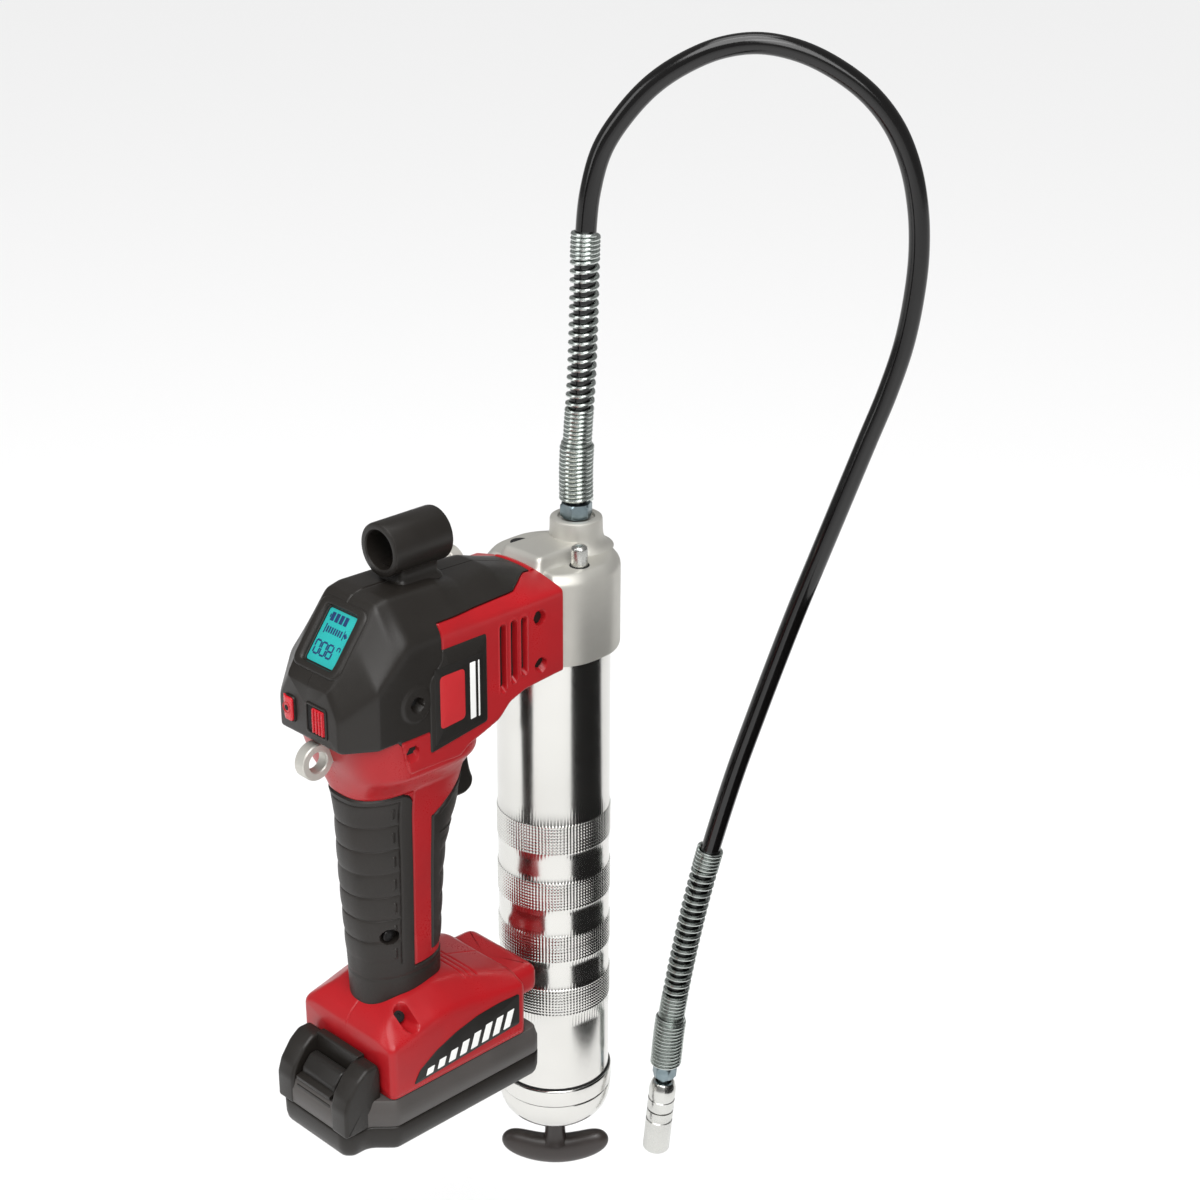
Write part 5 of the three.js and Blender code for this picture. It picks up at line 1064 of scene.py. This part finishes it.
# ---- battery ----------------------------------------------------------------------------------
def build_battery():
    """Tiers of one outline: a lower tray, a groove and a lighter band; then the tail that holds the latch."""
    outline = [(66, -32), (62, -36), (-30, -36), (-40, -26.5), (-49, -26.5), (-53.5, -22),
               (-53.5, 22), (-49, 26.5), (-40, 26.5), (-30, 36), (62, 36), (66, 32)]
    line = rounded(outline, 3.0)
    tray = stacked(layered(line, [-127, -126.8, -125.6, -124, -121, -113.6, -112.9, -112.5],
                           [5.5, 3.8, 1.9, 0.9, 0.2, 0.0, 0.4, 1.2]))
    band = stacked(layered(line, [-112.9, -112.4, -111.8, -104.5, -103.6, -99.6, -98.8, -98.5],
                           [1.5, 0.5, 0.1, 0.1, 0.5, 1.6, 2.2, 3.4]))
    cheek = rounded([(-53.8, -113), (-53.8, -99), (-51.5, -92), (-45.5, -84), (-40, -80), (-33, -80),
                     (-31.6, -84), (-31.6, -113)], 1.6)
    sill = rounded([(-53.0, -113), (-53.0, -106.5), (-46, -104.5), (-31.6, -98.6), (-31.6, -113)], 1.0)
    back = rounded([(-38.5, -106), (-37.0, -79), (-32.2, -79), (-32.2, -106)], 1.0)
    dark = [slab(cheek, -26.8, -14.6, 1.8, "y"), slab(cheek, 14.6, 26.8, 1.8, "y"),
            slab(sill, -15.5, 15.5, 0.4, "y"), slab(back, -15.5, 15.5, 0.6, "y"),
            slab(rectangle(-23, 50, -21, 21, 2), -99.5, -89.6, 0.6)]
    skins = [(tray, "dark"), (band, "band")] + [(skin, "dark") for skin in dark]
    for x, y in ((-30, -20), (-30, 20), (50, -20), (50, 20)):
        skins.append((slab(rectangle(x - 6, x + 6, y - 4, y + 4, 2), -127.6, -126, 0.5), "band"))
    make("battery_pack", skins, "battery", ["battery_case"])
    press = rounded([(-50.5, -104), (-49.0, -92), (-44.0, -86.5), (-39.5, -86.5), (-39.5, -104)], 1.5)
    bars = [(slab(press, -12.6, 12.6, 1.2, "y"), "label")]
    for level in (-101.5, -96.5):
        ledge = rounded([(-52.6, level - 1.1), (-52.6, level + 0.9), (-44, level + 2.4),
                         (-44, level - 1.1)], 0.5)
        bars.append((slab(ledge, -12.8, 12.8, 0.4, "y"), "dark"))
    make("battery_latch_button", bars, "battery_release", ["battery_latch"])


# ---- holder, eyelets, screws, controls --------------------------------------------------------
def build_holder():
    """The tube is a profile turned about X; its saddle is a column of rounded plan rings below it."""
    profile = [(9.4, 0.6), (10.0, 0.0), (12.2, 0.0), (12.8, 0.4), (13.0, 1.2), (13.0, 32.8), (12.8, 33.6),
               (12.2, 34.0), (10.0, 34.0), (9.4, 33.4)]
    tube = moved(turned(profile, 96, closed=True), (0, 0, 168.5), (1, 0, 0))
    saddle = stacked(layered(rectangle(5.5, 28.5, -8.5, 8.5, 3), [150.6, 152.2, 152.8, 154.0, 158.0, 160.6],
                             [-2.6, -1.8, -0.8, 0.0, 0.0, -1.0]))
    make("coupler_saddle_tube", [(tube, "dark"), (saddle, "dark")], "tool", ["coupler_holder"])


EYELETS = [  # name, node, middle of the ring, its axis, and two corners of the stem
    ("rear_strap_eyelet", "eyelet_rear", (-42.0, 0.0, 77.0), (0, 1, 0), [(-34.5, -3, 74), (-22, 3, 80)]),
    ("side_strap_eyelet", "eyelet_side", (77.0, 41.0, 128.0), (1, 0, 0), [(74, 24, 125), (80, 33.5, 131)]),
]


def build_eyelets():
    """Each eyelet is a turned ring and a block with rounded corners."""
    profile = [(5.0, -2.7), (5.5, -3.25), (8.4, -3.25), (9.0, -2.7), (9.0, 2.7), (8.4, 3.25), (5.5, 3.25),
               (5.0, 2.7)]
    for name, stands, place, axis, ((x0, y0, z0), (x1, y1, z1)) in EYELETS:
        ring = moved(turned(profile, 72, closed=True), place, axis)
        stem = block(x0, x1, y0, y1, z0, z1, 1.2, 0.8)
        make(name, [(ring, "cast"), (stem, "cast")], "tool", [stands])


SCREW_SINK = 3.0               # how far each head sits below the surface


def build_screws():
    """Each head is turned about Y; its socket is a six-lobed star, a radius of 1.45 plus 0.28 cos 6a, drawn
    as a thin black plate on the head: painted shade in place of a cut recess.
    """
    angle = np.linspace(0, 2 * np.pi, 72, endpoint=False)
    lobes = (1.45 + 0.28 * np.cos(6 * angle))[:, None] * np.stack([np.cos(angle), np.sin(angle)], axis=-1)
    head = turned([(2.0, -7.0), (2.0, -1.4), (2.9, -1.2), (3.0, -0.3), (2.7, 0.0), (2.2, 0.05)], 48)
    # The socket star is painted shade: a flat black plate laid on the head, not a cut.
    socket = slab(lobes, -0.1, 0.12, 0.02)
    for name, (x, y, z) in SCREWS.items():
        place = (x, y + SCREW_SINK, z)
        skins = [(moved(head, place, (0, -1, 0)), "screw"), (moved(socket, place, (0, -1, 0)), "hole")]
        make(name + "_star", skins, "tool", [name])


RIM_LEVELS = [(0, 44.5), (0.3, 44.8), (0.8, 44.8), (1.0, 44.5)]   # share of the way inwards, height
BUTTON_SLOPE_START, BUTTON_SLOPE = 15.0, 0.55     # the button follows the cover's rounded corner from here


def rim(outer, inner, floor):
    """A low frame between two rectangles, drawn face up along X."""
    levels = [(0, floor)] + RIM_LEVELS + [(1.0, floor)]
    return framed(matched(rectangle(*outer), 80), matched(rectangle(*inner), 80), levels, "x")


def build_controls():
    """The trigger is an outline carried across Y, with rounded edges. The button and the slide are slabs
    inside low frames, drawn with their faces along +X and then flipped to face the rear."""
    line = rounded([(26.0, 32.4), (41.5, 32.0), (45.8, 34.4), (47.2, 38.5), (45.2, 44.0), (44.2, 49),
                    (43.6, 54), (42.4, 58), (26.0, 58)], [1, 2.5, 2.5, 3, 4, 4, 4, 2, 1], 0.6)
    blade = stacked(layered(line, *eased_ends(-9, 9, 2.4, 7), "y"))
    plunger = moved(turned([(2.2, 0.0), (2.4, 0.3), (2.4, 12.0)], 32), (16.0, 0, 41.0), (1, 0, 0))
    make("trigger_blade", [(blade, "dark"), (plunger, "dark")], "trigger_lever", ["trigger"])

    to_rear = (-1, 1, 1)
    cap = slab(rectangle(9.9, 20.4, 94.2, 105.8, 1.6), 44.3, 45.7, 0.5, "x")
    socket = rim((9.1, 21.2, 93.4, 106.6, 2.2), (9.6, 20.7, 93.9, 106.1, 1.8), 42.0)
    for points in (cap[0], socket[0]):
        points[:, 0] -= BUTTON_SLOPE * np.clip(points[:, 1] - BUTTON_SLOPE_START, 0, None)
    middle = (0, 13.9, 100.2)
    dot = moved(turned([(1.3, 45.3), (1.3, 45.8), (1.0, 45.9)], 36), middle, (-1, 0, 0))
    ring = turned([(2.3, 45.3), (2.3, 45.8), (2.8, 45.8), (2.8, 45.3)], 48, closed=True)
    ring = moved(ring, middle, (-1, 0, 0))
    make("mode_button_socket", [(flipped(socket, to_rear), "dark")], "tool")
    make("mode_push_button", [(flipped(cap, to_rear), "control"), (dot, "hole"), (ring, "red")], "mode_key",
         ["mode_button"])

    frame_rim = rim((-13.8, 1.4, 92.2, 107.8, 1.6), (-12.6, 0.2, 93.4, 106.6, 0.8), 43.0)
    # The back plate in the window is black: painted shade behind the slide.
    back = slab(rectangle(-12.9, 0.5, 93.1, 106.9, 0.8), 43.0, 44.08, 0.02, "x")
    make("speed_window", [(flipped(frame_rim, to_rear), "dark"), (flipped(back, to_rear), "hole")], "tool")
    slide = [slab(rectangle(-12.2, -4.1, 93.9, 106.1, 0.5), 44.15, 44.9, 0.3, "x")]
    for y in (-12.0, -9.9, -7.8, -5.5):
        slide.append(slab(rectangle(y, y + 1.1, 94.1, 105.9, 0.4), 44.6, 45.7, 0.4, "x"))
    make("speed_slide_ribbed", [(flipped(skin, to_rear), "control") for skin in slide], "speed_slide",
         ["speed_switch"])


PLAIN_NODES = {
    "steel": ["follower_rod", "check_ball", "motor_can", "sun_gear", "ring_gear", "crank_carrier",
              "planet_gear_1", "planet_gear_2", "planet_gear_3", "pump_piston", "coupler_jaws"],
    "spring": ["follower_spring"], "seal": ["follower", "barrel_gasket"], "cast": ["filler_plug"],
    "board": ["display_module", "control_board"], "copper": ["motor_rotor"], "dark": ["trigger_switch"],
    "cell": ["cell_1", "cell_2", "cell_3", "cell_4", "cell_5"],
}


def dress_works():
    """The works inside, the filler plug and the coupler's jaws keep the frame's own shapes and take the
    finishes of their real materials."""
    for key, names in PLAIN_NODES.items():
        for name in names:
            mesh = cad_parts[name].data
            mesh.materials.clear()
            mesh.materials.append(finished(key))


# ---- stage ------------------------------------------------------------------------------------
CAMERA_PLACE = (-0.6245, -0.7780, 0.5751)
CAMERA_YAW, CAMERA_PITCH, CAMERA_ROLL = 45.48, 23.45, 0.23     # degrees: left of +X, downwards, clockwise
CAMERA_LENS, CAMERA_SENSOR = 71.13, 36.0                       # millimetres
FLOOR_Z, FLOOR_HALF = -0.41, 6.0      # metres; the floor is clear of the pulled-out rod
LIGHT_TARGET = (0.05, 0.0, 0.08)      # the softboxes face this place
SUN_POWER, SUN_SPREAD, SUN_HEADING = 2.5, 50, (0.45, 0.35, -1.0)
AREA_LIGHTS = [  # name, place, width, height, watts
    ("key_light", (-0.5, -1.5, 1.3), 0.9, 1.2, 14),
    ("side_light", (-1.6, 0.5, 0.9), 0.8, 1.4, 9),
    ("top_light", (0.2, 0.1, 1.9), 1.0, 1.0, 8),
]
CARDS = [  # name, degrees round the barrel from the camera's side, distance, width, low and high edge
    ("left_card", -50, 0.62, 0.16, -0.2, 0.5),
    ("right_card", 69, 0.15, 0.215, -0.22, 0.085),
]
WORLD_LIGHT = 0.27


def plain_material(name, hex_colour, roughness):
    """An even material for the stage."""
    made = bpy.data.materials.new(name)
    made.use_nodes = True
    shader = made.node_tree.nodes["Principled BSDF"]
    shader.inputs["Base Color"].default_value = linear(hex_colour)
    shader.inputs["Roughness"].default_value = roughness
    return made


def sheet(name, corners, material):
    """One flat face through four corners."""
    mesh = bpy.data.meshes.new(name)
    mesh.from_pydata([tuple(corner) for corner in corners], [], [(0, 1, 2, 3)])
    mesh.materials.append(material)
    made = bpy.data.objects.new(name, mesh)
    bpy.context.scene.collection.objects.link(made)
    return made


def card(name, middle, turn, width, height, material):
    """An upright flat card: width along the direction of its turn, height along Z."""
    across = np.array([math.cos(turn), math.sin(turn), 0.0]) * width / 2
    up = np.array([0.0, 0.0, height / 2])
    middle = np.array(middle)
    corners = [middle - across - up, middle + across - up, middle + across + up, middle - across + up]
    return sheet(name, corners, material)


def lamp(name, kind, place, heading, **settings):
    """A light of a kind at a place, shining along a heading."""
    data = bpy.data.lights.new(name, kind)
    for key, value in settings.items():
        setattr(data, key, value)
    made = bpy.data.objects.new(name, data)
    bpy.context.scene.collection.objects.link(made)
    made.location = place
    made.rotation_euler = Vector(heading).to_track_quat("-Z", "Y").to_euler()
    return made


def build_stage():
    """A pale floor, a soft sun and three softboxes, and two black cards that only reflections see."""
    scene = bpy.context.scene
    corners = [(x * FLOOR_HALF, y * FLOOR_HALF, FLOOR_Z) for x, y in ((-1, -1), (1, -1), (1, 1), (-1, 1))]
    floor = sheet("floor", corners, plain_material("pale_floor", "#F7F7F7", 0.8))
    sun_angle = math.radians(SUN_SPREAD)
    lights = [lamp("soft_sun", "SUN", (0, 0, 0), SUN_HEADING, energy=SUN_POWER, angle=sun_angle)]
    for name, place, width, height, watts in AREA_LIGHTS:
        heading = Vector(LIGHT_TARGET) - Vector(place)
        lights.append(lamp(name, "AREA", place, heading, shape="RECTANGLE", size=width, size_y=height,
                           energy=watts))
    black = plain_material("black_card", "#050505", 0.9)
    barrel = np.array([BARREL_X * MM, 0.0, 0.0])
    view = math.atan2(CAMERA_PLACE[1] - barrel[1], CAMERA_PLACE[0] - barrel[0])
    for name, degrees, distance, width, low, high in CARDS:
        turn = view + math.radians(degrees)
        middle = barrel + distance * np.array([math.cos(turn), math.sin(turn), 0.0])
        middle[2] = (low + high) / 2
        made = card(name, middle, turn + math.pi / 2, width, high - low, black)
        made.visible_camera = made.visible_shadow = made.visible_diffuse = False

    world = bpy.data.worlds.new("studio")
    world.use_nodes = True
    background = world.node_tree.nodes["Background"]
    background.inputs["Color"].default_value = linear("#FFFFFF")
    background.inputs["Strength"].default_value = WORLD_LIGHT
    scene.world = world

    data = bpy.data.cameras.new("camera")
    data.lens, data.sensor_width, data.clip_start, data.clip_end = CAMERA_LENS, CAMERA_SENSOR, 0.01, 50.0
    camera = bpy.data.objects.new("camera", data)
    scene.collection.objects.link(camera)
    yaw, pitch = math.radians(CAMERA_YAW), math.radians(CAMERA_PITCH)
    ahead = Vector((math.cos(yaw) * math.cos(pitch), math.sin(yaw) * math.cos(pitch), -math.sin(pitch)))
    level = Vector((math.sin(yaw), -math.cos(yaw), 0.0))
    upright = Matrix((level, level.cross(ahead), -ahead)).transposed().to_4x4()
    roll = Matrix.Rotation(math.radians(CAMERA_ROLL), 4, "Z")
    camera.matrix_world = Matrix.Translation(CAMERA_PLACE) @ upright @ roll
    scene.camera = camera
    scene.view_settings.view_transform = "Standard"


# ---- add-on -----------------------------------------------------------------------------------
def length(name, description, metres):
    """A size in the panel."""
    return FloatProperty(name=name, description=description, default=metres, min=0.0, unit="LENGTH")


def picked(name, description, hex_colour):
    """A colour in the panel."""
    return FloatVectorProperty(name=name, description=description, subtype="COLOR", size=3, min=0.0, max=1.0,
                               default=linear(hex_colour)[:3])


class GunSizes(bpy.types.PropertyGroup):
    """Sizes of the surface details, in metres."""
    hose_radius: length("Hose radius", "Outside radius of the whip hose", 0.005)
    knurl_height: length("Knurl height", "Height of the square knurl on the barrel", 0.0004)
    rib_height: length("Rib height", "Height of the ribs on the grip's rubber", 0.0007)
    groove_depth: length("Groove depth", "Depth of the joint lines between mouldings", 0.0006)


class GunColours(bpy.types.PropertyGroup):
    """Colours of the main mouldings."""
    shell: picked("Shell", "Red moulded body and foot", "#A8181E")
    cover: picked("Cover", "Dark cover, bezel and battery", "#1D1A17")
    rubber: picked("Rubber", "Soft overmould on the grip", "#201D1A")
    casting: picked("Casting", "Cast pump head", "#CBC9C2")


class GUN_OT_hose(bpy.types.Operator):
    bl_idname = "gun.hose"
    bl_label = "Hose and coupler"

    def execute(self, context):
        build_hose(context.scene.gun_sizes)
        return {"FINISHED"}


class GUN_OT_head(bpy.types.Operator):
    """Builds the cast pump head, its island and boss, the relief button and the outlet nut"""
    bl_idname = "gun.head"
    bl_label = "Pump head"

    def execute(self, context):
        build_head()
        return {"FINISHED"}


class GUN_OT_barrel(bpy.types.Operator):
    """Builds the knurled barrel and its end cap"""
    bl_idname = "gun.barrel"
    bl_label = "Barrel"

    def execute(self, context):
        build_barrel(context.scene.gun_sizes)
        return {"FINISHED"}


class GUN_OT_handle(bpy.types.Operator):
    """Builds the T-shaped pull under the barrel"""
    bl_idname = "gun.handle"
    bl_label = "Pull handle"

    def execute(self, context):
        build_handle()
        return {"FINISHED"}


class GUN_OT_stage(bpy.types.Operator):
    """Sets the floor, the lights, the reflection cards, the world and the camera"""
    bl_idname = "gun.stage"
    bl_label = "Studio"

    def execute(self, context):
        build_stage()
        return {"FINISHED"}


class GUN_OT_body(bpy.types.Operator):
    """Builds the red shell of the upper body and the dark cover over it"""
    bl_idname = "gun.body"
    bl_label = "Upper body"

    def execute(self, context):
        build_body(context.scene.gun_sizes)
        return {"FINISHED"}


class GUN_OT_display(bpy.types.Operator):
    """Builds the display's frame, its lit face and the segments"""
    bl_idname = "gun.display"
    bl_label = "Display"

    def execute(self, context):
        build_display()
        return {"FINISHED"}


class GUN_OT_labels(bpy.types.Operator):
    """Builds the side panels with their plain stripes"""
    bl_idname = "gun.labels"
    bl_label = "Side panels"

    def execute(self, context):
        build_labels()
        return {"FINISHED"}


class GUN_OT_grip(bpy.types.Operator):
    """Builds the neck and grip and their rubber overmoulds"""
    bl_idname = "gun.grip"
    bl_label = "Grip"

    def execute(self, context):
        build_grip(context.scene.gun_sizes)
        return {"FINISHED"}


class GUN_OT_foot(bpy.types.Operator):
    """Builds the foot, its nose and its labels"""
    bl_idname = "gun.foot"
    bl_label = "Foot"

    def execute(self, context):
        build_foot()
        return {"FINISHED"}


class GUN_OT_battery(bpy.types.Operator):
    """Builds the battery pack and its latch"""
    bl_idname = "gun.battery"
    bl_label = "Battery"

    def execute(self, context):
        build_battery()
        return {"FINISHED"}


class GUN_OT_holder(bpy.types.Operator):
    """Builds the tube on top that parks the coupler"""
    bl_idname = "gun.holder"
    bl_label = "Coupler holder"

    def execute(self, context):
        build_holder()
        return {"FINISHED"}


class GUN_OT_eyelets(bpy.types.Operator):
    """Builds the two strap eyelets"""
    bl_idname = "gun.eyelets"
    bl_label = "Strap eyelets"

    def execute(self, context):
        build_eyelets()
        return {"FINISHED"}


class GUN_OT_screws(bpy.types.Operator):
    """Builds the screw heads"""
    bl_idname = "gun.screws"
    bl_label = "Screws"

    def execute(self, context):
        build_screws()
        return {"FINISHED"}


class GUN_OT_controls(bpy.types.Operator):
    """Builds the trigger, the mode button and the speed slide"""
    bl_idname = "gun.controls"
    bl_label = "Controls"

    def execute(self, context):
        build_controls()
        return {"FINISHED"}


class GUN_OT_works(bpy.types.Operator):
    """Gives the works inside their finishes"""
    bl_idname = "gun.works"
    bl_label = "Inner works"

    def execute(self, context):
        dress_works()
        return {"FINISHED"}


PIECES = [
    GUN_OT_hose, GUN_OT_head, GUN_OT_barrel, GUN_OT_handle, GUN_OT_stage, GUN_OT_body, GUN_OT_display,
    GUN_OT_labels, GUN_OT_grip, GUN_OT_foot, GUN_OT_battery, GUN_OT_holder, GUN_OT_eyelets, GUN_OT_screws,
    GUN_OT_controls, GUN_OT_works,
]


class GUN_PT_panel(bpy.types.Panel):
    """Lists the sizes, the colours and the pieces"""
    bl_idname = "GUN_PT_panel"
    bl_label = "Grease gun"
    bl_space_type = "VIEW_3D"
    bl_region_type = "UI"
    bl_category = "Grease gun"

    def draw(self, context):
        for group in (context.scene.gun_sizes, context.scene.gun_colours):
            for key in group.__annotations__:
                self.layout.prop(group, key)
        for piece in PIECES:
            self.layout.operator(piece.bl_idname)


CLASSES = [GunSizes, GunColours] + PIECES + [GUN_PT_panel]


def register():
    """Adds the classes and hangs the two property groups on the scene."""
    for each in CLASSES:
        bpy.utils.register_class(each)
    bpy.types.Scene.gun_sizes = PointerProperty(type=GunSizes)
    bpy.types.Scene.gun_colours = PointerProperty(type=GunColours)


def unregister():
    """Takes the property groups and the classes away again."""
    del bpy.types.Scene.gun_colours
    del bpy.types.Scene.gun_sizes
    for each in reversed(CLASSES):
        bpy.utils.unregister_class(each)


def main():
    register()
    for piece in PIECES:
        group, name = piece.bl_idname.split(".")
        getattr(getattr(bpy.ops, group), name)()


if __name__ == "__main__":
    main()
